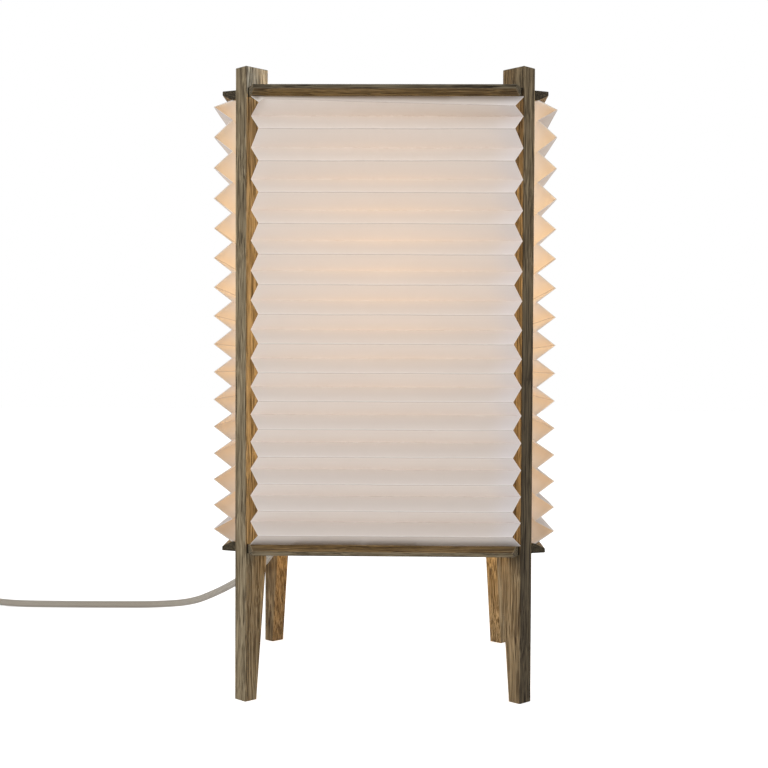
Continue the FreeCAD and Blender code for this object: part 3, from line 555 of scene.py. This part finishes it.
def paintedLightGroup(plan):
    # painted highlights along the rails' arrises, painted shade inside the joints, and which face a place is
    # on
    group, given, out = newGroup("framePaintedLight", [("Vector", "Vector"), ("Normal", "Vector"), *floats("Post")],
                                 floats("Worn", "Shade", "Wide", "Head", "Upper"))
    place = separated(group, given["Vector"])
    facing = separated(group, given["Normal"])
    rail = opposite(group, given["Post"])
    acrossX = calc(group, "ABSOLUTE", place["X"])
    acrossY = calc(group, "ABSOLUTE", place["Y"])
    reach = calc(group, "MAXIMUM", acrossX, acrossY)
    along = calc(group, "MINIMUM", acrossX, acrossY)
    slope = calc(group, "ABSOLUTE", facing["Z"])
    bevel = calc(group, "GREATER_THAN", slope, plan["bevelSlope"])
    steep = band(group, slope, *plan["arrisTo"])
    arris = product(group, band(group, slope, *plan["arrisFrom"]), opposite(group, steep))
    # how far past the line of the end cut a point lies
    setBack = calc(group, "SUBTRACT", plan["railFace"], reach)
    cut = calc(group, "MULTIPLY_ADD", setBack, -plan["railEndSlope"], along)
    hip = band(group, calc(group, "SUBTRACT", cut, plan["railEnd"]), *plan["hipBand"])
    # the painted highlight lies on the arrises and on the rails' hips
    worn = calc(group, "MAXIMUM", arris, product(group, hip, bevel))
    broken = band(group, noiseAt(group, given["Vector"], plan["wornScale"], 2), *plan["wornBand"])
    worn = product(group, worn, calc(group, "MULTIPLY_ADD", broken, 1 - plan["leastWorn"], plan["leastWorn"]))
    # where shade is painted inside the joints
    diagonal = product(group, calc(group, "ADD", acrossX, acrossY), math.sqrt(0.5))
    behindFace = calc(group, "LESS_THAN", diagonal, plan["postFace"] - plan["jointDepth"])
    levels = []
    for low, high in plan["railHeights"]:
        above = calc(group, "GREATER_THAN", place["Z"], low)
        levels.append(product(group, above, calc(group, "LESS_THAN", place["Z"], high)))
    inJoint = product(group, behindFace, calc(group, "ADD", *levels))
    # a post's wide faces lie along the diagonal, so they face across it
    outward = calc(group, "MULTIPLY_ADD", facing["X"], place["X"], product(group, facing["Y"], place["Y"]))
    wide = calc(group, "LESS_THAN", calc(group, "ABSOLUTE", outward), plan["postFace"] / 2)
    feedAll(group, out, {
        "Worn": product(group, worn, rail),
        "Shade": product(group, inJoint, given["Post"]),
        "Wide": calc(group, "ADD", product(group, wide, given["Post"]), product(group, bevel, rail)),
        "Head": band(group, place["Z"], *plan["headHeights"]),
        "Upper": band(group, place["Z"], *plan["upperHeights"])})
    return group


def oakMaterial(name, groups, turn, axis, board, plan):
    narrow, upper, wide, head, brown, endTone, start = board
    material, tree, shader = newMaterial(name)
    coordinates = objectCoordinates(tree)
    wearAndPaintedLight = useGroup(tree, groups["worn"], {"Vector": coordinates["Object"], "Normal": coordinates["Normal"],
                                           "Post": 1.0 if axis[2] else 0.0})
    # each face's tone, partly the board's own and partly painted light and shade, by face and height
    wideTone = calc(tree, "MULTIPLY_ADD", wearAndPaintedLight["Head"], head - wide, wide)
    narrowTone = calc(tree, "MULTIPLY_ADD", wearAndPaintedLight["Upper"], upper - narrow, narrow)
    tone = calc(tree, "MULTIPLY_ADD", wearAndPaintedLight["Wide"], calc(tree, "SUBTRACT", wideTone, narrowTone), narrowTone)
    shift = tuple(start * value for value in plan["boardShift"])
    place = stretched(tree, coordinates["Object"], (1, 1, 1), turn, shift)
    grain = useGroup(tree, groups["grain"], {"Vector": place, "Tone": tone, "Brown": brown})
    colour = grain["Color"]
    # a pale post head gets a painted cool highlight
    if head > plan["paleHead"]:
        cool = product(tree, wearAndPaintedLight["Wide"], wearAndPaintedLight["Head"])
        colour = blendColours(tree, cool, colour, plan["headTint"], "MULTIPLY")
    # the cut ends show their pores as dots
    facing = vectorCalc(tree, "DOT_PRODUCT", coordinates["Normal"], axis)["Value"]
    endGrain = band(tree, calc(tree, "ABSOLUTE", facing), *plan["endNormal"])
    dots = noiseAt(tree, coordinates["Object"], *plan["speckleNoise"])
    speckle = band(tree, dots, *plan["speckleBand"])
    endShade = calc(tree, "MULTIPLY_ADD", speckle, endTone * plan["speckleTone"], endTone * plan["endBase"])
    colour = blendColours(tree, endGrain, colour, tinted(tree, plan["middle"], endShade))
    # painted highlight along the rails' arrises, not on their end grain
    worn = product(tree, product(tree, wearAndPaintedLight["Worn"], plan["wornShare"]), opposite(tree, endGrain))
    colour = blendColours(tree, worn, colour, tuple(value * narrow for value in plan["worn"]))
    # painted shade inside the joints between posts and rails
    shade = calc(tree, "MULTIPLY_ADD", wearAndPaintedLight["Shade"], plan["joint"] - 1, 1)
    feedAll(tree, shader.inputs, {
        "Base Color": tinted(tree, colour, shade), "Roughness": grain["Roughness"],
        "Specular IOR Level": plan["specular"]})
    addBump(tree, shader, grain["Height"], plan["poreDepth"])
    return material


oakGroups = {"grain": oakGroup(oakPlan), "worn": paintedLightGroup(oakPlan)}
# turn that lays the grain along the board, and the board's long axis
grainTurns = {
    "up": ((0, 0, 0), (0, 0, 1)),
    "across": ((0, math.pi / 2, 0), (1, 0, 0)),
    "deep": ((math.pi / 2, 0, 0), (0, 1, 0)),
}
for name, board in boardPlan.items():
    way = "up" if name.startswith("post_") else "deep" if name.endswith(("_left", "_right")) else "across"
    label = "smokedOak" + "".join(part.capitalize() for part in name.split("_"))
    dress(nodes[name], oakMaterial(label, oakGroups, *grainTurns[way], board, oakPlan))
lightWoodThroughPaper(lightPlan, [nodes[name] for name in boardPlan])
print("wood finished")


paperPlan = {
    "pleats": 16,
    "valleyReach": 0.116,
    "pleatDepth": 0.015,
    "topHeight": 0.45645,
    "bottomHeight": 0.12055,
    "firstPleat": 0.0146,
    "lastPleat": 0.0172,
    "sag": 1.2,                 # the highest full pleat's height over the lowest one's
    "flap": 0.010,
    "valleyHalf": 0.1017,
    "ridgeHalf": 0.0943,
    "flapHalf": 0.0943,
    "thickness": 0.0006,
    "columns": 48,
    "wave": 0.00026,
    "waveStretch": (22, 90),    # along a fold and from one fold to the next
    # steps through the noise that keep the panels' waves apart, and a fold's two directions
    "waveSteps": (7.3, 3.1, 9),
    "smoothAngle": 30,
    "tolerance": 0.0005,
    # how far each panel was glued from the middle of its side
    "slide": {"front": 0.0018, "right": 0, "rear": 0, "left": 0},
    # how much higher the first outer fold lies at its two ends, panel by panel
    "firstFoldLift": {
        "front": (0.0028, -0.0025), "right": (0.0017, -0.0010),
        "rear": (0.0010, -0.0015), "left": (0.0005, 0.0039),
    },
    "lowCorner": "front",       # this panel's first fold comes down again at its left end
    "cornerShare": 0.001,
    # a face is on the cut edge from this sideways lean, and outside from this forward one
    "cutNormal": 0.5,
    "outsideNormal": -0.1,
}

paperLook = {
    # tone, glow and evenness of the glow on each side of the sheet
    "sheets": {
        "Outside": ((0.622, 0.583, 0.560), (0.165, 0.086, 0.018), 0.05),
        "Inside": ((0.72, 0.69, 0.64), (0.185, 0.150, 0.132), 0.9),
        "CutEdge": ((0.62, 0.57, 0.51), (0.10, 0.08, 0.06), 0.05),
    },
    "roughness": 0.85,
    "specular": 0.15,
    "reliefDepth": 0.00006,
    "bulbPlace": (0, 0, 0.345),
    "bulbDistance": 0.12,       # the glow has its full strength here
    "glowFall": 2.2,
    # scale of the paper's clouds, and how they change the glow and the relief
    "cloudScale": 60,
    "cloudGlow": 0.12,
    "cloudHeight": 3.0,
    "fibreNoise": (1400, 4, 0.7),   # scale, detail and roughness
    "fibreShade": 0.08,
    # the crease along each fold, with a painted highlight above it and painted shade below it
    "line": (0.76, 0.74, 0.73),
    "lineShare": 0.6,
    "creaseLine": 0.00060,
    "ridgeWidths": (1.5, 0.7),  # where the crease starts and ends, in widths from the fold
    "valleyWidths": (0.7, 1.6),
    "raggedStretch": (1, 1, 0.2),
    "raggedScale": 260,
    "raggedWidths": 0.8,
    "brokenScale": 140,
    "brokenBand": (0.42, 0.6),
    "valleyShare": 0.35,
    # the painted highlight along the cut edge
    "cutBand": (0.0003, 0.0007),
    "cutShare": 0.6,
    # the painted shade below each outer fold
    "darkShare": 0.6,
    "darkTone": 0.6,
    "darkGlow": (0.1, 0.06, 0.03),
    "darkGlowShare": 0.4,
    "upBand": (-0.05, 0.05),    # from looking down to looking up
    # painted light: a facet that looks up is lighter towards its outer fold
    "outerBand": (0.45, 1.0),
    "outerLift": 0.09,
    "innerLoss": -0.02,
    # and, painted too, one that looks down towards its inner fold
    "innerBand": (0, 0.4),
    "innerLift": 0.04,
    "lowestLoss": -0.14,        # on the facet that the bottom frame shades
    "foldMargin": 0.0001,
    # painted shade on the outside next to the rails
    "gluedBand": (0.15, 1.0),
    "gluedShade": 0.62,
    "levelTone": 1.01,
    "levelStart": 0.04,         # below the top, where the table's light starts to count
    "levelReach": 0.25,
    "tableLight": 0.80,         # share gained per metre on facets that look down
    "skyLoss": 0.30,            # and lost on those that look up
    # how far in from the right cut end daylight shows, and its tint above and below a fold
    "coolBand": (0.0024, 0.024),
    "endTint": (1.04, 1.07, 1.13),
    "endShade": (0.92, 0.95, 1.0),
    # how the light deep inside a fold is tinted
    "fold": (1.0, 0.93, 0.80),
    "foldBand": (0.1, 0.9),
    "foldShare": 0.9,
}


def foldPlaces(plan):
    # (reach, height, half length) of every fold from the top flap's free edge to the bottom one's
    full = plan["pleats"] - 2
    mean = (plan["topHeight"] - plan["bottomHeight"] - plan["firstPleat"] - plan["lastPleat"]) / full
    highest = 2 * mean * plan["sag"] / (plan["sag"] + 1)
    lowest = 2 * mean / (plan["sag"] + 1)
    heights = [plan["firstPleat"]]
    heights += [highest + (lowest - highest) * index / (full - 1) for index in range(full)]
    heights.append(plan["lastPleat"])
    valley, ridge = plan["valleyReach"], plan["valleyReach"] + plan["pleatDepth"]
    level = plan["topHeight"]
    places = [(valley - plan["flap"], level, plan["flapHalf"]), (valley, level, plan["valleyHalf"])]
    for height in heights:
        places.append((ridge, level - height / 2, plan["ridgeHalf"]))
        level -= height
        places.append((valley, level, plan["valleyHalf"]))
    places.append((valley - plan["flap"], level, plan["flapHalf"]))
    return places


def pullFacets(name, places, plan):
    # a plane becomes the glued flap, and every further facet is pulled from its free edge
    deselectAll()
    reach, height, half = places[0]
    bpy.ops.mesh.primitive_plane_add(size=1, location=(0, -reach, height))
    panel = bpy.context.object
    panel.name = name
    bpy.ops.object.mode_set(mode="EDIT")
    bpy.ops.mesh.select_mode(type="VERT")
    bpy.ops.transform.resize(value=(2 * half, plan["flap"], 1))
    bpy.ops.transform.translate(value=(0, -plan["flap"] / 2, 0))
    bpy.ops.object.mode_set(mode="OBJECT")
    for vertex in panel.data.vertices:
        vertex.select = vertex.co.y < -plan["flap"] / 2
    for edge in panel.data.edges:
        edge.select = all(panel.data.vertices[index].select for index in edge.vertices)
    for face in panel.data.polygons:
        face.select = False
    bpy.ops.object.mode_set(mode="EDIT")
    bpy.ops.transform.resize(value=(places[1][2] / half, 1, 1))
    for before, at in zip(places[1:], places[2:]):
        shift = (0, before[0] - at[0], at[1] - before[1])
        bpy.ops.mesh.extrude_region_move(TRANSFORM_OT_translate={"value": shift})
        bpy.ops.transform.resize(value=(at[2] / before[2], 1, 1))
    bpy.ops.object.mode_set(mode="OBJECT")
    bpy.ops.object.transform_apply(location=True, rotation=True, scale=True)
    return panel


def divideFolds(panel, plan):
    # only the folds are divided, so every facet stays one straight strip between two folds
    bpy.context.tool_settings.mesh_select_mode = (False, True, False)
    for item in (*panel.data.vertices, *panel.data.polygons):
        item.select = False
    for edge in panel.data.edges:
        first, second = (panel.data.vertices[index].co for index in edge.vertices)
        edge.select = abs(first.x - second.x) > plan["ridgeHalf"]
    bpy.ops.object.mode_set(mode="EDIT")
    bpy.ops.mesh.subdivide(number_cuts=plan["columns"] - 1)
    bpy.ops.object.mode_set(mode="OBJECT")


def markPaper(panel, plan):
    # how near each point is to an outer fold, how far from the cut ends, and whether it is glued
    slope = (plan["valleyHalf"] - plan["ridgeHalf"]) / plan["pleatDepth"]
    # each new attribute can move the others, so they are looked up once all are made
    labels = ("foldRise", "endInset", "rightInset", "gluedShare")
    for label in labels:
        panel.data.attributes.new(label, "FLOAT", "POINT")
    marks = [panel.data.attributes[label].data for label in labels]
    for index, vertex in enumerate(panel.data.vertices):
        out = -vertex.co.y - plan["valleyReach"]
        half = plan["valleyHalf"] - slope * out if out > 0 else plan["valleyHalf"] + out
        nearest = min(plan["topHeight"] - vertex.co.z, vertex.co.z - plan["bottomHeight"])
        glued = 1.0 if nearest < 2 * plan["tolerance"] else 0.0
        values = (out / plan["pleatDepth"], half - abs(vertex.co.x), half - vertex.co.x, glued)
        for mark, value in zip(marks, values):
            mark[index].value = value


def settleFolds(panel, plan, side, seed, firstFold):
    # the first fold lies a little aslant, and no fold is quite straight
    reach, height, half = firstFold
    stepAcross, stepUp, stepBetween = plan["waveSteps"]
    for vertex in panel.data.vertices:
        if math.hypot(vertex.co.y + reach, vertex.co.z - height) < plan["tolerance"]:
            atLeft, atRight = plan["firstFoldLift"][side]
            share = (vertex.co.x / half + 1) / 2
            atCorner = side == plan["lowCorner"] and share < plan["cornerShare"]
            vertex.co.z += 0 if atCorner else atLeft + (atRight - atLeft) * share
        if -vertex.co.y < plan["valleyReach"] - 2 * plan["tolerance"]:
            continue
        across, up = vertex.co.x * plan["waveStretch"][0], vertex.co.z * plan["waveStretch"][1]
        place = Vector((across + seed * stepAcross, up, seed * stepUp))
        vertex.co.y += plan["wave"] * noise.noise(place)
        vertex.co.z += plan["wave"] * noise.noise(place + Vector((0, 0, stepBetween)))


def foldPanel(name, plan, side, quarterTurns, sheets):
    places = foldPlaces(plan)
    panel = pullFacets(name, places, plan)
    divideFolds(panel, plan)
    markPaper(panel, plan)
    settleFolds(panel, plan, side, quarterTurns + 1, places[2])
    solid = panel.modifiers.new("thickness", "SOLIDIFY")
    solid.thickness = plan["thickness"]
    solid.offset = 0
    makeActive(panel)
    bpy.ops.object.modifier_apply(modifier="thickness")
    bpy.ops.object.shade_smooth_by_angle(angle=math.radians(plan["smoothAngle"]))
    dress(panel, *sheets)
    outside, inside, cutEdge = range(len(sheets))
    for face in panel.data.polygons:
        if abs(face.normal.x) > plan["cutNormal"]:
            face.material_index = cutEdge
        else:
            face.material_index = outside if face.normal.y < plan["outsideNormal"] else inside
    panel.data.transform(Matrix.Translation((plan["slide"][side], 0, 0)))
    panel.data.transform(Matrix.Rotation(quarterTurns * math.pi / 2, 4, "Z"))
    return panel


def attribute(tree, name):
    step = tree.nodes.new("ShaderNodeAttribute")
    step.attribute_name = name
    return step.outputs["Fac"]


def creaseMasks(group, given, look, width, above):
    # the painted light lines and the painted shade lines along the folds, and the painted highlight along the
    # cut edge
    ragged = noiseAt(group, stretched(group, given["Vector"], look["raggedStretch"]), look["raggedScale"], 2)
    spread = width * look["raggedWidths"]
    rise = calc(group, "ADD", given["Rise"], calc(group, "MULTIPLY_ADD", ragged, spread, -spread / 2))
    ridge = band(group, rise, *(1 - width * value for value in look["ridgeWidths"]))
    valley = opposite(group, band(group, rise, *(width * value for value in look["valleyWidths"])))
    broken = band(group, noiseAt(group, given["Vector"], look["brokenScale"], 2), *look["brokenBand"])
    edge = opposite(group, band(group, given["Inset"], *look["cutBand"]))
    pale = product(group, product(group, valley, broken), look["valleyShare"])
    pale = calc(group, "MAXIMUM", product(group, ridge, above), pale)
    dark = product(group, product(group, ridge, opposite(group, above)), opposite(group, edge))
    return calc(group, "MAXIMUM", pale, product(group, edge, look["cutShare"])), dark


def facetShade(group, given, plan, look, above, below):
    # painted light and shade: a share near 1 by which each facet is lighter or darker than plain paper
    outer = calc(group, "MULTIPLY_ADD", band(group, given["Rise"], *look["outerBand"]), look["outerLift"],
                 look["innerLoss"])
    inner = product(group, opposite(group, band(group, given["Rise"], *look["innerBand"])), look["innerLift"])
    lift = calc(group, "ADD", product(group, above, outer), product(group, below, inner))
    level = separated(group, given["Vector"])["Z"]
    lowestFold = plan["bottomHeight"] + plan["lastPleat"] / 2 - look["foldMargin"]
    lowest = calc(group, "LESS_THAN", level, lowestFold)
    shade = calc(group, "ADD", lift, calc(group, "MULTIPLY_ADD", lowest, look["lowestLoss"], 1.0))
    # the lower a facet is, the more light it gets from the table and the less from above
    drop = calc(group, "SUBTRACT", plan["topHeight"] - look["levelStart"], level)
    drop = calc(group, "MINIMUM", calc(group, "MAXIMUM", drop, 0), look["levelReach"])
    gain = calc(group, "MULTIPLY_ADD", below, look["tableLight"] + look["skyLoss"], -look["skyLoss"])
    shade = product(group, shade, calc(group, "MULTIPLY_ADD", drop, gain, look["levelTone"]))
    # painted shade: only the outside is darker next to the rail that it is glued on
    glued = band(group, given["Glued"], *look["gluedBand"])
    glued = product(group, glued, calc(group, "LESS_THAN", given["Even"], 0.5))
    return product(group, shade, calc(group, "MULTIPLY_ADD", glued, look["gluedShade"] - 1, 1))


def paperGroup(plan, look):
    # fibre, the painted light and shade along creases, on facets and at the cut edge, and the glow that the
    # bulb gives each place
    group, given, out = newGroup(
        "paperSheet",
        [("Vector", "Vector"), *floats("Facing", "Rise", "Inset", "RightInset", "Glued", "Even")],
        floats("Glow", "Light", "Dark", "Fibre", "Height", "Soft", "Cool", "Shaded"))
    place = given["Vector"]
    away = vectorCalc(group, "DISTANCE", place, look["bulbPlace"])["Value"]
    spot = calc(group, "POWER", calc(group, "DIVIDE", look["bulbDistance"], away), look["glowFall"])
    glow = calc(group, "MULTIPLY_ADD", spot, opposite(group, given["Even"]), given["Even"])
    cloud = noiseAt(group, place, look["cloudScale"])
    cloudGlow = calc(group, "MULTIPLY_ADD", cloud, look["cloudGlow"], 1 - look["cloudGlow"] / 2)
    above = band(group, given["Facing"], *look["upBand"])
    below = opposite(group, above)
    width = look["creaseLine"] / plan["pleatDepth"]
    light, dark = creaseMasks(group, given, look, width, above)
    cool = opposite(group, band(group, given["RightInset"], *look["coolBand"]))
    fibre = noiseAt(group, place, *look["fibreNoise"])
    feedAll(group, out, {
        "Glow": product(group, glow, cloudGlow),
        "Light": light,
        "Dark": dark,
        "Fibre": fibre,
        "Height": calc(group, "MULTIPLY_ADD", cloud, look["cloudHeight"], fibre),
        "Soft": facetShade(group, given, plan, look, above, below),
        "Cool": product(group, cool, above),
        "Shaded": product(group, cool, below)})
    return group


def paperMaterial(name, group, look, tone, glowTone, even):
    material, tree, shader = newMaterial(name)
    coordinates = objectCoordinates(tree)
    sheet = useGroup(tree, group, {
        "Vector": coordinates["Object"], "Facing": separated(tree, coordinates["Normal"])["Z"],
        "Rise": attribute(tree, "foldRise"), "Inset": attribute(tree, "endInset"),
        "RightInset": attribute(tree, "rightInset"), "Glued": attribute(tree, "gluedShare"), "Even": even})
    fibreShade = calc(tree, "MULTIPLY_ADD", sheet["Fibre"], look["fibreShade"], 1 - look["fibreShade"] / 2)
    # the painted light and shade of each facet on the paper's colour and glow
    base = tinted(tree, tone, product(tree, fibreShade, sheet["Soft"]))
    glow = tinted(tree, glowTone, product(tree, sheet["Glow"], sheet["Soft"]))
    isInside = even > 0.5
    if isInside:
        depth = band(tree, attribute(tree, "foldRise"), *look["foldBand"])
        deepFold = product(tree, depth, look["foldShare"])
        base = blendColours(tree, deepFold, base, look["fold"], "MULTIPLY")
    else:
        base = blendColours(tree, sheet["Cool"], base, look["endTint"], "MULTIPLY")
        base = blendColours(tree, sheet["Shaded"], base, look["endShade"], "MULTIPLY")
    # painted shade below each outer fold, and painted light along the folds and the cut edge
    darkTone = tuple(value * look["darkTone"] for value in tone)
    base = blendColours(tree, product(tree, sheet["Dark"], look["darkShare"]), base, darkTone)
    base = blendColours(tree, product(tree, sheet["Light"], look["lineShare"]), base, look["line"])
    glow = blendColours(tree, product(tree, sheet["Dark"], look["darkGlowShare"]), glow, look["darkGlow"])
    if isInside:
        glow = blendColours(tree, deepFold, glow, look["fold"], "MULTIPLY")
    feedAll(tree, shader.inputs, {
        "Base Color": base, "Emission Color": glow, "Emission Strength": 1.0,
        "Roughness": look["roughness"], "Specular IOR Level": look["specular"]})
    addBump(tree, shader, sheet["Height"], look["reliefDepth"])
    return material


paper = paperGroup(paperPlan, paperLook)
sheets = [paperMaterial("pleatedPaper" + label, paper, paperLook, *values)
          for label, values in paperLook["sheets"].items()]
for index, side in enumerate(("front", "right", "rear", "left")):
    panel = foldPanel("pleatedPanel" + side.capitalize(), paperPlan, side, index, sheets)
    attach(panel, "lamp")
    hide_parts("paper_panel_" + side)
print("paper folded")


wearPlan = {
    # detail and roughness of the broad and of the fine pattern
    "broadNoise": (4, 0.5),
    "fineNoise": (3, 0.5),
    "fineScale": 14.0,          # times the broad pattern's scale
    "glossShare": 0.25,
}

# tone, roughness, metallic, pattern scale, shade variation, bump depth
finishPlan = {
    "satinBrass": ((0.62, 0.45, 0.20), 0.30, 1.0, 60, 0.35, 0.00002),
    "zincSteel": ((0.52, 0.52, 0.52), 0.34, 1.0, 80, 0.30, 0.00002),
    "nickelPlate": ((0.66, 0.63, 0.57), 0.22, 1.0, 70, 0.25, 0.00001),
    "holderPlastic": ((0.035, 0.033, 0.030), 0.45, 0.0, 90, 0.40, 0.00004),
    "whiteCeramic": ((0.78, 0.76, 0.71), 0.30, 0.0, 50, 0.12, 0.00002),
    "bulbPlastic": ((0.80, 0.79, 0.76), 0.40, 0.0, 60, 0.08, 0.00002),
    "blackInsulator": ((0.018, 0.018, 0.020), 0.35, 0.0, 90, 0.40, 0.00002),
    "boardWhite": ((0.72, 0.73, 0.70), 0.50, 0.0, 120, 0.15, 0.00003),
    "wireSheath": ((0.30, 0.17, 0.08), 0.45, 0.0, 140, 0.25, 0.00003),
    "gripRubber": ((0.42, 0.38, 0.33), 0.62, 0.0, 160, 0.25, 0.00008),
    "fittingPlastic": ((0.56, 0.52, 0.46), 0.42, 0.0, 130, 0.12, 0.00005),
    "rockerPlastic": ((0.48, 0.44, 0.39), 0.36, 0.0, 130, 0.12, 0.00004),
    "pinSleeve": ((0.03, 0.03, 0.03), 0.40, 0.0, 90, 0.30, 0.00002),
}
finishedNodes = {
    "satinBrass": ("wiring_cup", "stem_tube", "stem_nut_lower", "stem_nut_upper", "stem_washer",
                   "holder_screw_shell", "holder_centre_contact"),
    "zincSteel": ("wiring_cup_screws", "switch_screws"),
    "nickelPlate": ("bulb_screw_cap", "bulb_tip_contact", "plug_pins"),
    "holderPlastic": ("holder_cap", "holder_skirt"),
    "whiteCeramic": ("holder_insert",),
    "bulbPlastic": ("bulb_collar",),
    "blackInsulator": ("bulb_insulator",),
    "boardWhite": ("bulb_light_board",),
    "wireSheath": ("inner_wires",),
    "gripRubber": ("cord_grip",),
    "fittingPlastic": ("switch_base", "switch_cover", "plug_body"),
    "rockerPlastic": ("switch_rocker",),
    "pinSleeve": ("plug_pin_sleeves",),
}
opalPlan = {
    "tone": (0.86, 0.82, 0.76),
    "roughness": 0.18,
    "scale": 25.0,
    "shade": 0.06,
    "glow": (1.0, 0.80, 0.55),
    "strength": 1.6,
    "coat": 0.4,
}


def wearGroup(plan):
    group, given, out = newGroup(
        "surfaceWear", [("Vector", "Vector"), ("Tone", "Color"), *floats("Scale", "Shade", "Gloss")],
        [("Color", "Color"), *floats("Roughness", "Height")])
    broad = noiseAt(group, given["Vector"], given["Scale"], *plan["broadNoise"])
    fineScale = product(group, given["Scale"], plan["fineScale"])
    swing = calc(group, "SUBTRACT", broad, 0.5)
    share = calc(group, "MULTIPLY_ADD", swing, given["Shade"], 1.0)
    feedAll(group, out, {
        "Color": tinted(group, given["Tone"], share),
        "Roughness": calc(group, "MULTIPLY_ADD", swing, plan["glossShare"], given["Gloss"]),
        "Height": noiseAt(group, given["Vector"], fineScale, *plan["fineNoise"])})
    return group


def wornSurface(name, wearAndPaintedLight, tone, roughness, scale, shade):
    material, tree, shader = newMaterial(name)
    look = useGroup(tree, wearAndPaintedLight, {"Vector": objectCoordinates(tree)["Object"], "Scale": scale, "Tone": tone,
                                 "Shade": shade, "Gloss": roughness})
    feedAll(tree, shader.inputs, {"Base Color": look["Color"], "Roughness": look["Roughness"]})
    return material, tree, shader, look


def plainFinish(name, wearAndPaintedLight, values):
    tone, roughness, metallic, scale, shade, depth = values
    material, tree, shader, look = wornSurface(name, wearAndPaintedLight, tone, roughness, scale, shade)
    feed(tree, shader.inputs["Metallic"], metallic)
    addBump(tree, shader, look["Height"], depth)
    return material


def opalMaterial(wearAndPaintedLight, plan):
    material, tree, shader, look = wornSurface("opalGlass", wearAndPaintedLight, plan["tone"], plan["roughness"],
                                               plan["scale"], plan["shade"])
    feedAll(tree, shader.inputs, {
        "Emission Color": tinted(tree, plan["glow"], look["Color"]),
        "Emission Strength": plan["strength"], "Coat Weight": plan["coat"]})
    return material


wearAndPaintedLight = wearGroup(wearPlan)
for finish, values in finishPlan.items():
    material = plainFinish(finish, wearAndPaintedLight, values)
    for name in finishedNodes[finish]:
        dress(nodes[name], material)
dress(nodes["bulb_globe"], opalMaterial(wearAndPaintedLight, opalPlan))
# the globe doesn't shade the light inside it
nodes["bulb_globe"].visible_shadow = False
print("fittings finished")


braidPlan = {
    "pale": (0.49, 0.44, 0.365),
    "deep": (0.07, 0.06, 0.047),
    "shadeBand": (0.35, 1.05),
    "pitch": 0.00275,
    "depth": 0.00035,
    "threadStretch": (900, 40, 1),
    "threadHeight": 0.25,
    "roughness": 0.85,
    "sheen": 0.3,
}


def braidMaterial(plan):
    material, tree, shader = newMaterial("braidedTextile")
    mapNode = tree.nodes.new("ShaderNodeUVMap")
    mapNode.uv_map = "braidMap"
    parts = separated(tree, mapNode.outputs[0])
    along = calc(tree, "DIVIDE", parts["X"], plan["pitch"])
    around = product(tree, parts["Y"], cordPlan["strands"])
    right = calc(tree, "ADD", along, around)
    left = calc(tree, "SUBTRACT", along, around)
    # a strand is highest along its middle
    crowns = []
    for strand in (right, left):
        saw = calc(tree, "SUBTRACT", calc(tree, "FRACT", strand), 0.5)
        crowns.append(opposite(tree, product(tree, product(tree, saw, saw), 4.0)))
    # strands pass over and under each other in turn
    cells = calc(tree, "ADD", calc(tree, "FLOOR", right), calc(tree, "FLOOR", left))
    over = calc(tree, "PINGPONG", cells, 1.0)
    height = calc(tree, "MULTIPLY_ADD", crowns[1], opposite(tree, over), product(tree, crowns[0], over))
    threads = noiseAt(tree, stretched(tree, mapNode.outputs[0], plan["threadStretch"]), 1.0)
    height = calc(tree, "MULTIPLY_ADD", threads, plan["threadHeight"], height)
    colour = blendColours(tree, band(tree, height, *plan["shadeBand"]), plan["deep"], plan["pale"])
    feedAll(tree, shader.inputs, {"Base Color": colour, "Roughness": plan["roughness"],
                                  "Sheen Weight": plan["sheen"]})
    addBump(tree, shader, height, plan["depth"])
    return material


braid = braidMaterial(braidPlan)
for piece in (supplyFlex, plugEndFlex, nodes["cord_entry"]):
    dress(piece, braid)
print("cords finished")
